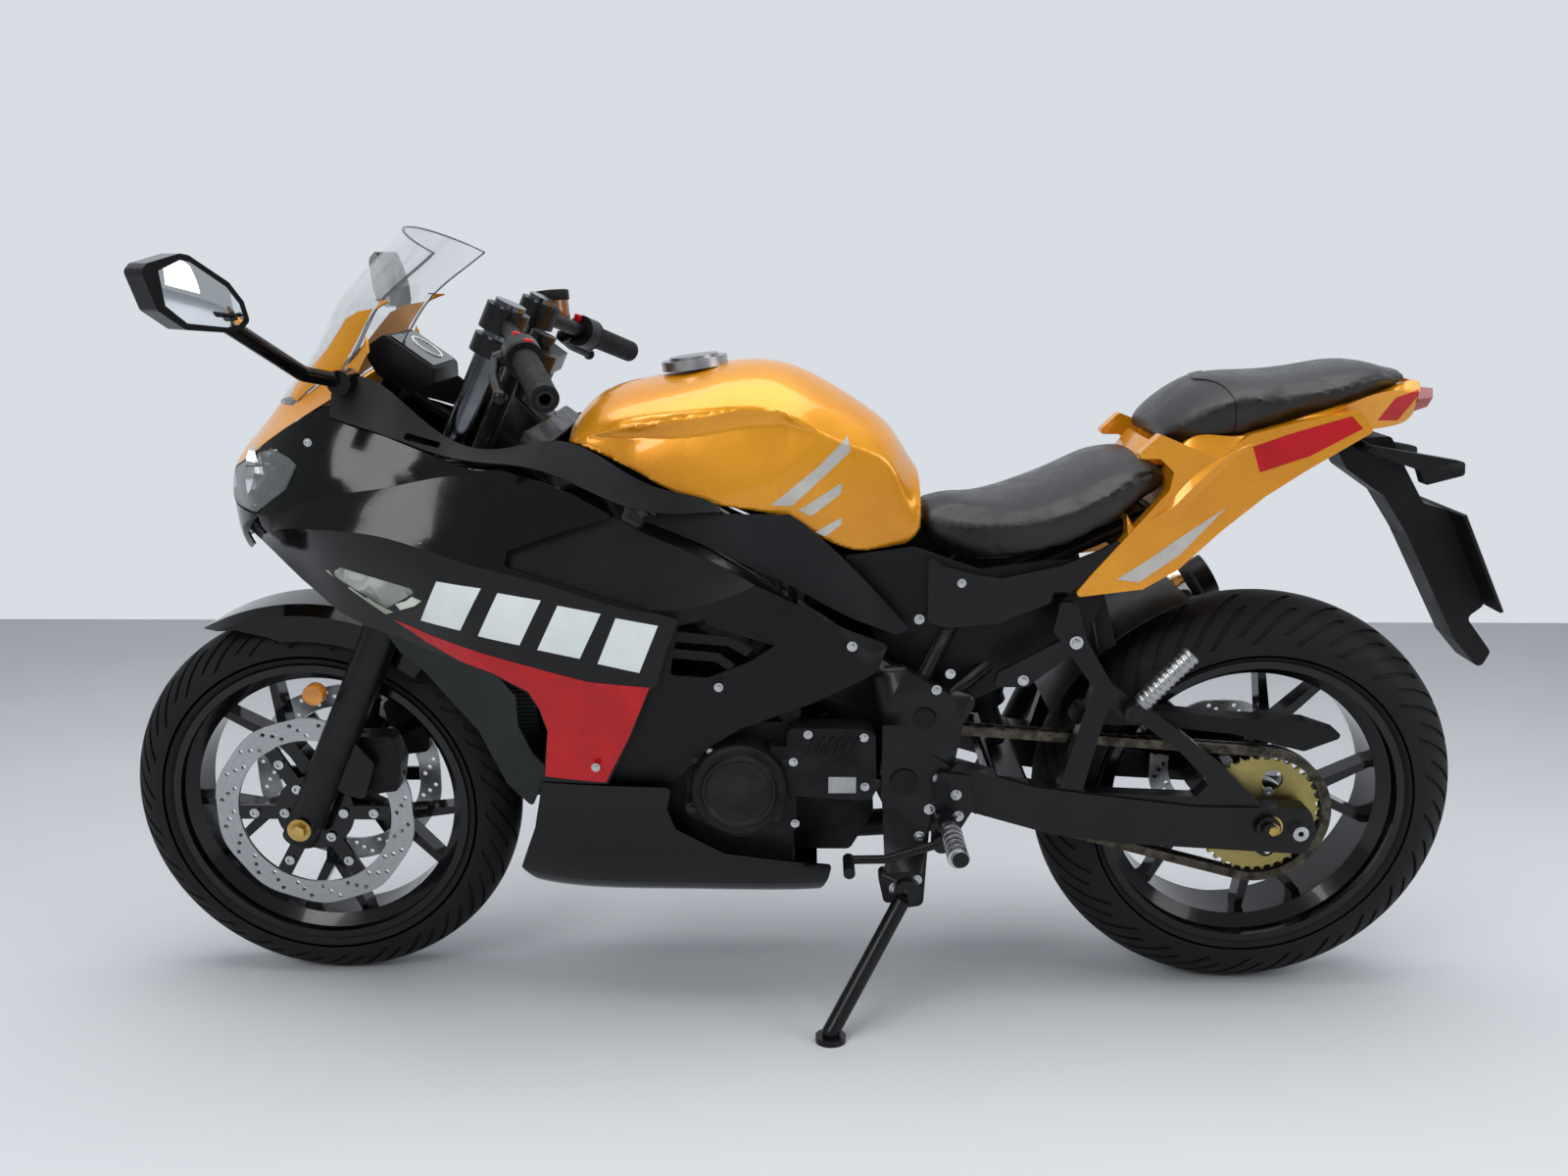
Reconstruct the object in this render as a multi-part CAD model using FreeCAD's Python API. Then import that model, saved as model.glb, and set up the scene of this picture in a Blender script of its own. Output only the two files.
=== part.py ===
"""A sport bike parked on its side stand, built from separate pieces in an upright bike frame and then leaned.

Bike frame, in millimetres: +X to the rear, -Y to the bike's left, +Z up, origin on the floor midway between the tyre
contacts. Each piece is made upright and leaned over by place() when it is written.
"""
import FreeCAD
import Part
import math
import os

# Wheels and chassis layout
wheelbase = 1380.0
lean_angle = 9.5
rake_angle = 25.0
trail = 95.0
fork_half_spacing = 103.0
pivot_x = 175.0
pivot_z = 386.0
running_gap = 0.3
cut_overrun = 20.0

# Tyres, rims and hubs
front_tyre_radius = 292.0
front_tyre_half_width = 55.0
rear_tyre_radius = 308.0
rear_tyre_half_width = 75.0
tyre_wall = 9.0
bead_radius = 216.0
rim_wall = 5.0
rim_flange_height = 6.0
rim_flange_width = 5.0
rim_well_depth = 17.0
hub_radius = 34.0
spoke_depth = 30.0
front_hub_half_length = 60.0
rear_hub_half_length = 70.0
front_axle_radius = 12.0
front_axle_bore_radius = 8.0
rear_axle_radius = 10.0
axle_gap = 0.05

# Brakes, sprocket and chain
front_disc_radius = 149.0
front_disc_inner_radius = 114.0
front_disc_offset = 72.0
rear_disc_radius = 110.0
rear_disc_inner_radius = 78.0
rear_disc_offset = 88.0
disc_thickness = 4.5
disc_wave_depth = 3.0
sprocket_tip_radius = 90.0
sprocket_root_radius = 84.0
sprocket_thickness = 5.5
sprocket_teeth = 38
chain_offset = 92.0
chain_pitch_radius = 97.0
chain_roller_radius = 5.0
chain_plate_half_height = 6.5
chain_plate_thickness = 2.4
chain_half_width = 9.0
drive_sprocket_radius = 38.0
drive_sprocket_x = 80.0
drive_sprocket_z = 412.0

# Front end
slider_radius = 26.0
slider_length = 375.0
slider_foot = 30.0
stanchion_radius = 20.5
stanchion_top = 815.0
lower_yoke_at = 520.0
lower_yoke_thickness = 36.0
top_yoke_at = 752.0
top_yoke_thickness = 24.0
stem_radius = 15.0
head_tube_radius = 32.0
head_gap = 2.0
bar_clamp_at = 790.0
bar_clamp_length = 34.0
bar_clamp_radius = 29.0
bar_radius = 11.0
bar_bore_radius = 7.0
bar_bore_length = 30.0
bar_end_x = -257.0
bar_end_y = 345.0
bar_end_z = 934.0
grip_length = 122.0
grip_radius = 17.0
grip_flange_radius = 24.0
grip_flange_width = 6.0
lever_reach = 62.0
lever_radius = 6.5
lever_ball_radius = 9.0
fender_inner_radius = 309.0
fender_wall = 4.0
fender_half_width = 66.0
fender_skirt_depth = 46.0

# Swingarm
arm_inner = 106.0
arm_outer = 136.0
arm_pivot_radius = 28.0
arm_bridge_thickness = 26.0
spool_hole_radius = 4.0
spool_length = 12.0
spool_boss_radius = 11.0

# Side stand
stand_pivot_x = 182.0
stand_pivot_y = -150.0
stand_pivot_z = 222.0
stand_foot_x = 74.0
stand_foot_floor_y = -268.0
stand_foot_radius = 21.0
stand_foot_thickness = 9.0
stand_leg_radius = 12.0

lean = math.radians(lean_angle)
rake = math.radians(rake_angle)
front_x = -wheelbase / 2
rear_x = wheelbase / 2


def axle_height(tyre_radius, crown_radius):
    """Height of an axle in the upright frame whose round tyre touches the floor once the bike has leaned."""
    return tyre_radius + crown_radius * (1 / math.cos(lean) - 1)


front_z = axle_height(front_tyre_radius, front_tyre_half_width)
rear_z = axle_height(rear_tyre_radius, rear_tyre_half_width)
fork_up = FreeCAD.Vector(math.sin(rake), 0, math.cos(rake))
fork_back = FreeCAD.Vector(math.cos(rake), 0, -math.sin(rake))
fork_offset = (front_tyre_radius * math.tan(rake) - trail) * math.cos(rake)
side_axis = FreeCAD.Vector(0, 1, 0)
origin = FreeCAD.Vector(0, 0, 0)


def vec(x, y, z):
    return FreeCAD.Vector(x, y, z)


def on_fork(along, side=0.0, back=0.0):
    """A point on the fork line, measured up from the front axle."""
    return vec(front_x, side, front_z) + fork_up * along + fork_back * back


def stretch(shares, start, size):
    """Pairs of shares of a piece's two sizes, laid out from its start corner."""
    return [(start[0] + size[0] * a, start[1] + size[1] * b) for a, b in shares]


def mirrored(shape):
    return shape.mirror(origin, side_axis)


def both_sides(shape):
    return Part.Compound([shape, mirrored(shape)])


def fused(shapes):
    whole = shapes[0]
    if len(shapes) > 1:
        whole = shapes[0].fuse(shapes[1:])
    return whole.removeSplitter()


def smooth_edge(points):
    if len(points) == 2:
        return Part.makeLine(points[0], points[1])
    curve = Part.BSplineCurve()
    curve.interpolate(points)
    return curve.toShape()


def rounded_wire(points, radius):
    """A closed wire through flat points with each corner rounded, as far as its two sides allow."""
    count = len(points)
    edges = []
    starts, ends = [], []
    for i, corner in enumerate(points):
        before = points[i - 1] - corner
        after = points[(i + 1) % count] - corner
        half_turn = before.getAngle(after) / 2
        room = min(before.Length, after.Length) * 0.45
        back = min(radius / math.tan(half_turn), room) if half_turn < math.pi / 2 - 0.02 else 0
        if back <= 0:
            starts.append(corner)
            ends.append(corner)
            edges.append(None)
            continue
        before.normalize()
        after.normalize()
        start = corner + before * back
        end = corner + after * back
        middle = (before + after).normalize()
        true_radius = back * math.tan(half_turn)
        depth = true_radius / math.sin(half_turn) - true_radius
        starts.append(start)
        ends.append(end)
        edges.append(Part.Arc(start, corner + middle * depth, end).toShape())
    wire = []
    for i in range(count):
        if edges[i] is not None:
            wire.append(edges[i])
        following = starts[(i + 1) % count]
        if ends[i].distanceToPoint(following) > 1e-6:
            wire.append(Part.makeLine(ends[i], following))
    return Part.Wire(wire)


def side_plate(outline, low_y, high_y, radius=0.0):
    """A plate with an outline in the side view, from one lateral place to another."""
    points = [vec(x, low_y, z) for x, z in outline]
    wire = rounded_wire(points, radius) if radius else Part.makePolygon(points + points[:1])
    return Part.Face(wire).extrude(vec(0, high_y - low_y, 0))


def front_plate(outline, low_x, high_x, radius=0.0):
    """A plate with an outline in the view from behind, from one place along the bike to another."""
    points = [vec(low_x, y, z) for y, z in outline]
    wire = rounded_wire(points, radius) if radius else Part.makePolygon(points + points[:1])
    return Part.Face(wire).extrude(vec(high_x - low_x, 0, 0))


def rod(start, end, radius):
    return Part.makeCylinder(radius, start.distanceToPoint(end), start, end - start)


def taper(start, end, start_radius, end_radius):
    return Part.makeCone(start_radius, end_radius, start.distanceToPoint(end), start, end - start)


def bent_wire(points, bend):
    """An open path of straight runs joined by tangent arcs."""
    edges = []
    last = points[0]
    for i in range(1, len(points) - 1):
        corner = points[i]
        before = points[i - 1] - corner
        after = points[i + 1] - corner
        half_turn = before.getAngle(after) / 2
        back = min(bend / math.tan(half_turn), min(before.Length, after.Length) * 0.45)
        before.normalize()
        after.normalize()
        start = corner + before * back
        end = corner + after * back
        true_radius = back * math.tan(half_turn)
        middle = (before + after).normalize()
        depth = true_radius / math.sin(half_turn) - true_radius
        edges.append(Part.makeLine(last, start))
        edges.append(Part.Arc(start, corner + middle * depth, end).toShape())
        last = end
    edges.append(Part.makeLine(last, points[-1]))
    return Part.Wire(edges)


def tube(points, radius, bend):
    """A round bar or pipe along a bent path."""
    path = bent_wire(points, bend)
    circle = Part.Wire(Part.makeCircle(radius, points[0], points[1] - points[0]))
    return path.makePipeShell([circle], True, False)


def revolved(profile, centre_x, centre_z):
    """A ring round a cross axle. The profile holds (radius, lateral) points."""
    points = [vec(centre_x, y, centre_z + r) for r, y in profile]
    face = Part.Face(Part.makePolygon(points + points[:1]))
    return face.revolve(vec(centre_x, 0, centre_z), side_axis, 360)


def offset_line(points, distance):
    """The same open line moved sideways by its own normals, in its (lateral, height) plane."""
    moved = []
    for i, (y, z) in enumerate(points):
        ahead = points[min(i + 1, len(points) - 1)]
        behind = points[max(i - 1, 0)]
        dy, dz = ahead[0] - behind[0], ahead[1] - behind[1]
        size = math.hypot(dy, dz)
        moved.append((y + dz / size * distance, z - dy / size * distance))
    return moved


def section_wire(x, line, corners, thickness):
    """A closed strip along an open (lateral, height) line, split into edges at its corners."""
    inner = offset_line(line, thickness)
    outer_points = [vec(x, y, z) for y, z in line]
    inner_points = [vec(x, y, z) for y, z in inner]
    cuts = [0] + list(corners) + [len(line) - 1]
    edges = []
    for a, b in zip(cuts, cuts[1:]):
        edges.append(smooth_edge(outer_points[a : b + 1]))
    edges.append(Part.makeLine(outer_points[-1], inner_points[-1]))
    for a, b in reversed(list(zip(cuts, cuts[1:]))):
        edges.append(smooth_edge(list(reversed(inner_points[a : b + 1]))))
    edges.append(Part.makeLine(inner_points[0], outer_points[0]))
    return Part.Wire(edges)


def shell_panel(stations, corners, thickness):
    """A curved panel lofted through strips. Each station is (x, line), with as many points as the others."""
    wires = [section_wire(x, line, corners, thickness) for x, line in stations]
    return Part.makeLoft(wires, True, False)


def body_loft(stations):
    """A closed body lofted through sections. Each station is (x, list of edges), each edge (lateral, height) points."""
    wires = []
    for x, edges in stations:
        wires.append(Part.Wire([smooth_edge([vec(x, y, z) for y, z in edge]) for edge in edges]))
    return Part.makeLoft(wires, True, False)


# Wheels
def tyre(centre_x, centre_z, radius, half_width):
    """A hollow tyre with a round crown and sidewalls down to the bead."""
    crown_r = radius - half_width
    bead = bead_radius + running_gap
    bead_half_share = 0.72

    def side(inset):
        top = vec(centre_x, 0, centre_z + radius - inset)
        flank = vec(centre_x, half_width - inset, centre_z + crown_r)
        low = vec(centre_x, half_width * bead_half_share - inset, centre_z + bead)
        return top, flank, low

    outer, inner = side(0), side(tyre_wall)

    def other(point):
        return vec(point.x, -point.y, point.z)

    edges = [
        Part.makeLine(outer[2], outer[1]),
        Part.Arc(outer[1], outer[0], other(outer[1])).toShape(),
        Part.makeLine(other(outer[1]), other(outer[2])),
        Part.makeLine(other(outer[2]), other(inner[2])),
        Part.makeLine(other(inner[2]), other(inner[1])),
        Part.Arc(other(inner[1]), inner[0], inner[1]).toShape(),
        Part.makeLine(inner[1], inner[2]),
        Part.makeLine(inner[2], outer[2]),
    ]
    face = Part.Face(Part.Wire(edges))
    return face.revolve(vec(centre_x, 0, centre_z), side_axis, 360)


spoke_outline_shares = [
    (0.05, 0.075), (0.42, 0.050), (0.54, 0.060), (0.98, 0.270), (0.98, 0.205), (0.60, 0.0),
    (0.98, -0.205), (0.98, -0.270), (0.54, -0.060), (0.42, -0.050), (0.05, -0.075),
]
spoke_count = 5
carrier_arms = 6
carrier_arm_half_width = 11.0
carrier_thickness = 5.0
carrier_gap = 1.2


def rim(centre_x, centre_z, half_width, hub_half_length, axle_radius, first_angle):
    """A cast wheel: a barrel with bead flanges and a well, a hub and five forked spokes."""
    seat = bead_radius
    seat_half = half_width * 0.83
    lip = seat_half + rim_flange_width
    well_half = seat_half * 0.55
    well = seat - rim_well_depth
    outer = [
        (seat + rim_flange_height, lip), (seat + rim_flange_height, seat_half + running_gap), (seat, seat_half),
        (seat, well_half * 1.25), (well, well_half), (well, -well_half), (seat, -well_half * 1.25),
        (seat, -seat_half), (seat + rim_flange_height, -seat_half - running_gap), (seat + rim_flange_height, -lip),
    ]
    inner = [
        (seat - rim_wall, -lip), (seat - rim_wall, -well_half * 1.25 - rim_wall),
        (well - rim_wall, -well_half), (well - rim_wall, well_half),
        (seat - rim_wall, well_half * 1.25 + rim_wall), (seat - rim_wall, lip),
    ]
    barrel = revolved(outer + inner, centre_x, centre_z)
    centre = vec(centre_x, -hub_half_length, centre_z)
    hub = Part.makeCylinder(hub_radius, 2 * hub_half_length, centre, side_axis)
    reach = well - rim_wall * 0.5
    spokes = []
    for k in range(spoke_count):
        outline = [(centre_x + reach * a, centre_z + reach * b) for a, b in spoke_outline_shares]
        spoke = side_plate(outline, -spoke_depth / 2, spoke_depth / 2)
        spoke.rotate(vec(centre_x, 0, centre_z), side_axis, first_angle + k * 360 / spoke_count)
        spokes.append(spoke)
    bore = Part.makeCylinder(axle_radius + axle_gap, 2 * (hub_half_length + cut_overrun),
                             vec(centre_x, -hub_half_length - cut_overrun, centre_z), side_axis)
    return barrel.fuse([hub] + spokes).cut(bore).removeSplitter()


def disc_carrier(centre_x, centre_z, offset, reach, hub_half_length):
    """Six arms from the hub out to a brake disc's inner edge."""
    low = offset - carrier_thickness / 2
    arms = []
    for k in range(carrier_arms):
        outline = [(centre_x, centre_z - carrier_arm_half_width), (centre_x + reach, centre_z - carrier_arm_half_width),
                   (centre_x + reach, centre_z + carrier_arm_half_width), (centre_x, centre_z + carrier_arm_half_width)]
        arm = side_plate(outline, low, low + carrier_thickness)
        arm.rotate(vec(centre_x, 0, centre_z), side_axis, k * 360 / carrier_arms)
        arms.append(arm)
    ring_out = Part.makeCylinder(hub_radius * 1.7, carrier_thickness, vec(centre_x, low, centre_z), side_axis)
    spigot_low = min(low, hub_half_length)
    spigot = Part.makeCylinder(hub_radius, abs(low - hub_half_length) + carrier_thickness,
                               vec(centre_x, spigot_low, centre_z), side_axis)
    return arms + [ring_out, spigot]


def wave_disc(centre_x, centre_z, offset, outer_radius, inner_radius, lobes):
    """A brake disc with a petal edge."""
    points = []
    steps_per_lobe = 8
    steps = lobes * steps_per_lobe
    for k in range(steps):
        angle = 2 * math.pi * k / steps
        r = outer_radius - disc_wave_depth * (1 + math.cos(angle * lobes)) / 2
        points.append(vec(centre_x + r * math.cos(angle), offset - disc_thickness / 2, centre_z + r * math.sin(angle)))
    curve = Part.BSplineCurve()
    curve.interpolate(points, PeriodicFlag=True)
    disc = Part.Face(Part.Wire(curve.toShape())).extrude(vec(0, disc_thickness, 0))
    hole = Part.makeCylinder(inner_radius, disc_thickness + 2 * cut_overrun,
                             vec(centre_x, offset - disc_thickness / 2 - cut_overrun, centre_z), side_axis)
    return disc.cut(hole)


def front_tyre():
    return tyre(front_x, front_z, front_tyre_radius, front_tyre_half_width)


def rear_tyre():
    return tyre(rear_x, rear_z, rear_tyre_radius, rear_tyre_half_width)


def front_rim():
    first_angle = 20.0
    wheel = rim(front_x, front_z, front_tyre_half_width, front_hub_half_length, front_axle_radius, first_angle)
    reach = front_disc_inner_radius - carrier_gap
    arms = disc_carrier(front_x, front_z, front_disc_offset, reach, front_hub_half_length)
    arms += [mirrored(a) for a in arms]
    bore = Part.makeCylinder(front_axle_radius + axle_gap, 4 * front_disc_offset,
                             vec(front_x, -2 * front_disc_offset, front_z), side_axis)
    return wheel.fuse(arms).cut(bore).removeSplitter()


def rear_rim():
    first_angle = 0.0
    wheel = rim(rear_x, rear_z, rear_tyre_half_width, rear_hub_half_length, rear_axle_radius, first_angle)
    reach = rear_disc_inner_radius - carrier_gap
    arms = disc_carrier(rear_x, rear_z, rear_disc_offset, reach, rear_hub_half_length)
    bore = Part.makeCylinder(rear_axle_radius + axle_gap, 4 * rear_disc_offset,
                             vec(rear_x, -2 * rear_disc_offset, rear_z), side_axis)
    carrier_low = -chain_offset + sprocket_thickness / 2 + running_gap
    boss = Part.makeCylinder(hub_radius * 1.5, abs(carrier_low) - rear_hub_half_length + 1,
                             vec(rear_x, carrier_low, rear_z), side_axis)
    return wheel.fuse(arms + [boss]).cut(bore).removeSplitter()


def front_discs():
    lobes = 10
    disc = wave_disc(front_x, front_z, front_disc_offset, front_disc_radius, front_disc_inner_radius, lobes)
    return both_sides(disc)


def rear_disc():
    lobes = 8
    return wave_disc(rear_x, rear_z, rear_disc_offset, rear_disc_radius, rear_disc_inner_radius, lobes)


def rear_sprocket():
    """A toothed ring with a spoked centre."""
    points = []
    for k in range(sprocket_teeth):
        for share, r in ((0.0, sprocket_root_radius), (0.3, sprocket_root_radius), (0.5, sprocket_tip_radius),
                         (0.65, sprocket_tip_radius), (0.85, sprocket_root_radius)):
            angle = 2 * math.pi * (k + share) / sprocket_teeth
            points.append((rear_x + r * math.cos(angle), rear_z + r * math.sin(angle)))
    low = -chain_offset - sprocket_thickness / 2
    plate = side_plate(points, low, low + sprocket_thickness)
    windows = 5
    window_radius_share, window_place_share = 0.18, 0.66
    for k in range(windows):
        angle = 2 * math.pi * k / windows
        place = sprocket_root_radius * window_place_share
        hole = Part.makeCylinder(sprocket_root_radius * window_radius_share, sprocket_thickness + 2 * cut_overrun,
                                 vec(rear_x + place * math.cos(angle), low - cut_overrun,
                                     rear_z + place * math.sin(angle)), side_axis)
        plate = plate.cut(hole)
    bore = Part.makeCylinder(rear_axle_radius + axle_gap, sprocket_thickness + 2 * cut_overrun,
                             vec(rear_x, low - cut_overrun, rear_z), side_axis)
    return plate.cut(bore)


def loop_face(offset, y):
    """The outline of the chain at a distance from its pitch line: two arcs and two tangent runs."""
    big = vec(rear_x, y, rear_z)
    small = vec(drive_sprocket_x, y, drive_sprocket_z)
    r_big = chain_pitch_radius + offset
    r_small = drive_sprocket_radius + offset
    along = small - big
    distance = along.Length
    along.normalize()
    up = vec(-along.z, 0, along.x)
    if up.z < 0:
        up = up * -1
    tilt = (r_big - r_small) / distance
    rise = math.sqrt(1 - tilt * tilt)
    normals = [along * tilt + up * rise, along * tilt - up * rise]
    big_top, big_low = big + normals[0] * r_big, big + normals[1] * r_big
    small_top, small_low = small + normals[0] * r_small, small + normals[1] * r_small
    wire = Part.Wire([
        Part.makeLine(big_top, small_top),
        Part.Arc(small_top, small + along * r_small, small_low).toShape(),
        Part.makeLine(small_low, big_low),
        Part.Arc(big_low, big - along * r_big, big_top).toShape(),
    ])
    return Part.Face(wire)


def chain_loop(half_height, low_y, high_y):
    outer = loop_face(half_height, low_y).extrude(vec(0, high_y - low_y, 0))
    inner = loop_face(-half_height, low_y - cut_overrun).extrude(vec(0, high_y - low_y + 2 * cut_overrun, 0))
    return outer.cut(inner)


def chain():
    """One fixed loop: two rows of plates with the roller row between them."""
    inner_face = chain_half_width - chain_plate_thickness
    plates = [
        chain_loop(chain_plate_half_height, -chain_offset - chain_half_width, -chain_offset - inner_face),
        chain_loop(chain_plate_half_height, -chain_offset + inner_face, -chain_offset + chain_half_width),
    ]
    rollers = chain_loop(chain_roller_radius, -chain_offset - inner_face, -chain_offset + inner_face)
    return fused(plates + [rollers])


# Chassis
def steering_point(along, side=0.0):
    return on_fork(along, side, fork_offset)


beam_inner = 112.0
beam_outer = 138.0
pivot_plate_inner = 142.0
pivot_plate_outer = 162.0
subframe_tube_radius = 11.0
subframe_spacing = 92.0


made = {}


def made_once(maker):
    if maker not in made:
        made[maker] = maker()
    return made[maker]


def lug(start, direction, length, radius, seat):
    """A rod from the frame that ends where it meets the piece it carries."""
    whole = rod(start, start + direction * length, radius).cut(seat)
    pieces = sorted(whole.Solids, key=lambda solid: solid.CenterOfMass.distanceToPoint(start))
    return pieces[0]


def lugs():
    """The rests on the frame of the tank, the panels and the nose."""
    outward, up = vec(0, 1, 0), vec(0, 0, 1)
    radius = 7
    rests = []
    for side in (1, -1):
        across = outward * side
        places = [
            (vec(-290, side * (beam_outer - 6), 790), across, side_fairings),
            (vec(-60, side * (beam_outer - 6), 610), across, under_fairings),
            (vec(340, side * 90, 673), across, side_covers),
            (vec(-215, side * 122, 740), up, fuel_tank),
            (vec(0, side * 122, 620), up, fuel_tank),
            (vec(20, side * 130, 620), vec(4, side * 18, 60), knee_panels),
            (vec(-240, side * 130, 790), vec(0, side * 25, 25), dash_panels),
            (vec(-566, side * 100, 892), vec(-1, 0, 0), nose_cowl),
        ]
        for start, direction, carried in places:
            rests.append(lug(start, direction.normalize(), 220, radius, made_once(carried)))
    return rests


def frame():
    """Head tube, two beams, pivot plates, a seat subframe and the stays of the nose."""
    head_low = lower_yoke_at + lower_yoke_thickness / 2 + head_gap
    head_high = top_yoke_at - top_yoke_thickness / 2 - head_gap
    head = rod(steering_point(head_low), steering_point(head_high), head_tube_radius)
    beam_line = [(-330, 872), (-200, 776), (20, 640), (196, 520), (214, 440), (150, 430), (-20, 545), (-230, 680),
                 (-366, 800)]
    beam = side_plate(beam_line, beam_inner, beam_outer, 24)
    neck = side_plate([(-412, 800), (-366, 905), (-322, 872), (-352, 790)], -40, 40)
    head_box = side_plate([(-330, 872), (-300, 850), (-330, 780), (-362, 800)], -beam_outer, beam_outer, 6)
    plate_line = [(128, 545), (172, 550), (238, 512), (276, 512), (254, 472), (243, 409), (222, 380), (213, 337),
                  (206, 196), (176, 190), (152, 240), (144, 387), (144, 470)]
    plate = side_plate(plate_line, beam_outer, pivot_plate_outer, 10)
    pivot_shaft_radius = 12
    pivot = Part.makeCylinder(pivot_shaft_radius, 2 * pivot_plate_outer,
                              vec(pivot_x, -pivot_plate_outer, pivot_z), side_axis)
    cross = Part.makeCylinder(14, 2 * pivot_plate_inner, vec(178, -pivot_plate_inner, 286), side_axis)
    upper_cross = Part.makeCylinder(14, 2 * beam_outer, vec(186, -beam_outer, 500), side_axis)
    rails = [
        tube([vec(190, subframe_spacing + 34, 500), vec(262, subframe_spacing, 640), vec(500, subframe_spacing - 12, 742),
              vec(792, 50, 858)], subframe_tube_radius, 60),
        tube([vec(232, subframe_spacing + 44, 500), vec(300, subframe_spacing, 540), vec(520, subframe_spacing - 12, 728),
              vec(560, subframe_spacing - 12, 766)], subframe_tube_radius, 40),
    ]
    bridge = Part.makeCylinder(9, 2 * (subframe_spacing - 6), vec(520, -subframe_spacing + 6, 748), side_axis)
    rear_bridge = Part.makeCylinder(9, 120, vec(776, -60, 852), side_axis)
    stay = tube([vec(-335, 128, 826), vec(-372, 149, 826), vec(-470, 149, 826), vec(-566, 126, 892)], 8, 30)
    nose_bar = rod(vec(-566, -126, 892), vec(-566, 126, 892), 8)
    gauge_stem = side_plate([(-572, 888), (-540, 943.6), (-520, 934), (-556, 886)], -30, 30)
    stand_arm = side_plate([(140, 246), (205, 250), (206, 200), (150, 200)], -stand_bracket_inner, -142, 8)
    stand_pin = rod(vec(stand_pivot_x, -stand_bracket_inner, stand_pivot_z), vec(stand_pivot_x, -stand_bracket_outer, stand_pivot_z), 7)
    shapes = [head, neck, head_box, cross, pivot, upper_cross, bridge, rear_bridge, stand_arm, stand_pin, nose_bar, gauge_stem]
    shapes += lugs()
    for piece in [beam, plate, stay] + rails:
        shapes += [piece, mirrored(piece)]
    sleeve = rod(steering_point(lower_yoke_at - 40), steering_point(top_yoke_at + 40), stem_radius + axle_gap)
    return fused(shapes).cut(sleeve)


stand_bracket_inner = 163.0
stand_bracket_outer = 176.0

engine_half_width = 138.0
cover_face = 196.0


def engine():
    """The crankcase, the leaning cylinders, the side covers and the driving sprocket as one casting."""
    case = side_plate([(-216, 462), (-196, 300), (-138, 270), (7, 240), (22, 240), (22, 505), (-190, 505)],
                      -engine_half_width, engine_half_width, 14)
    back_case = side_plate([(0, 240), (104, 240), (138, 300), (130, 470), (60, 505), (0, 505)], -76, 104, 12)
    cylinder = side_plate([(-206, 490), (30, 490), (10, 652), (-196, 640)], -100, 100, 10)
    fins = []
    fin_count, fin_pitch, fin_thickness = 5, 22.0, 5.0
    for k in range(fin_count):
        z = 520 + k * fin_pitch
        fins.append(Part.makeBox(248, 212, fin_thickness, vec(-212, -106, z)))
    left_cover = Part.makeCylinder(66, cover_face - engine_half_width, vec(-52, -cover_face, 385), side_axis)
    left_cover = left_cover.makeFillet(9, [e for e in left_cover.Edges if e.BoundBox.YMax < -cover_face + 1])
    cover_plate = side_plate([(-120, 470), (-132, 330), (-60, 296), (26, 300), (26, 470)], -152, -130, 16)
    chain_cover = side_plate([(14, 470), (10, 372), (128, 364), (136, 380), (134, 460), (120, 470)], -178, -beam_outer - 2, 10)
    chain_cover = chain_cover.fuse(Part.makeBox(40, 66, 56, vec(-10, -178, 388)))
    right_cover = Part.makeCylinder(72, 44, vec(-45, engine_half_width - 2, 378), side_axis)
    right_cover = right_cover.makeFillet(9, [e for e in right_cover.Edges if e.BoundBox.YMin > engine_half_width + 40])
    sprocket = Part.makeCylinder(drive_sprocket_radius - chain_roller_radius - 1, sprocket_thickness,
                                 vec(drive_sprocket_x, -chain_offset - sprocket_thickness / 2, drive_sprocket_z), side_axis)
    shaft = Part.makeCylinder(12, 24, vec(drive_sprocket_x, -chain_offset - 4, drive_sprocket_z), side_axis)
    return fused([case, back_case, cylinder, left_cover, cover_plate, chain_cover, right_cover, sprocket, shaft] + fins)


def radiator():
    """The core with its two side tanks, leaning a little forward."""
    core = side_plate([(-392, 592), (-360, 596), (-336, 352), (-368, 348)], -102, 102, 4)
    tanks = [side_plate([(-396, 600), (-352, 604), (-328, 346), (-372, 340)], 102, 120, 6),
             side_plate([(-396, 600), (-352, 604), (-328, 346), (-372, 340)], -120, -102, 6)]
    hose = tube([vec(-365, 95, 560), vec(-300, 95, 560), vec(-246, 95, 522.5), vec(-212, 95, 522.5)], 15, 24)
    return fused([core] + tanks + [hose])


def exhaust():
    """Two header pipes under the engine, a link pipe and the silencer on the right."""
    pipe_radius = 19
    headers = [tube([vec(-215.5, y, 600), vec(-262, y, 590), vec(-290, y, 470), vec(-262, y, 262), vec(-160, y * 0.9, 222),
                     vec(-60, 40, 212)], pipe_radius, 55) for y in (-56, 56)]
    link = tube([vec(-120, 48, 214), vec(60, 60, 212), vec(240, 80, 214), vec(318, 150, 236), vec(384, 222, 320), vec(436, 222, 440)], 21, 60)
    body_start, body_end = vec(424, 222, 432), vec(672, 226, 572)
    body = rod(body_start, body_end, 49)
    body = body.makeFillet(10, [e for e in body.Edges if e.Length < 2 * math.pi * 50 and e.Length > 2 * math.pi * 48])
    along = (body_end - body_start).normalize()
    tip = rod(body_end - along * 4, body_end + along * 26, 34)
    mouth = rod(body_end - along * 8, body_end + along * 40, 26)
    band_share = 0.72
    band = rod(body_start + (body_end - body_start) * band_share, body_start + (body_end - body_start) * (band_share + 0.06), 49.8)
    hanger = rod(vec(462, 150.2, 503), vec(470, 205, 480), 6)
    return fused(headers + [link, body, tip, band, hanger]).cut(mouth)


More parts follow.
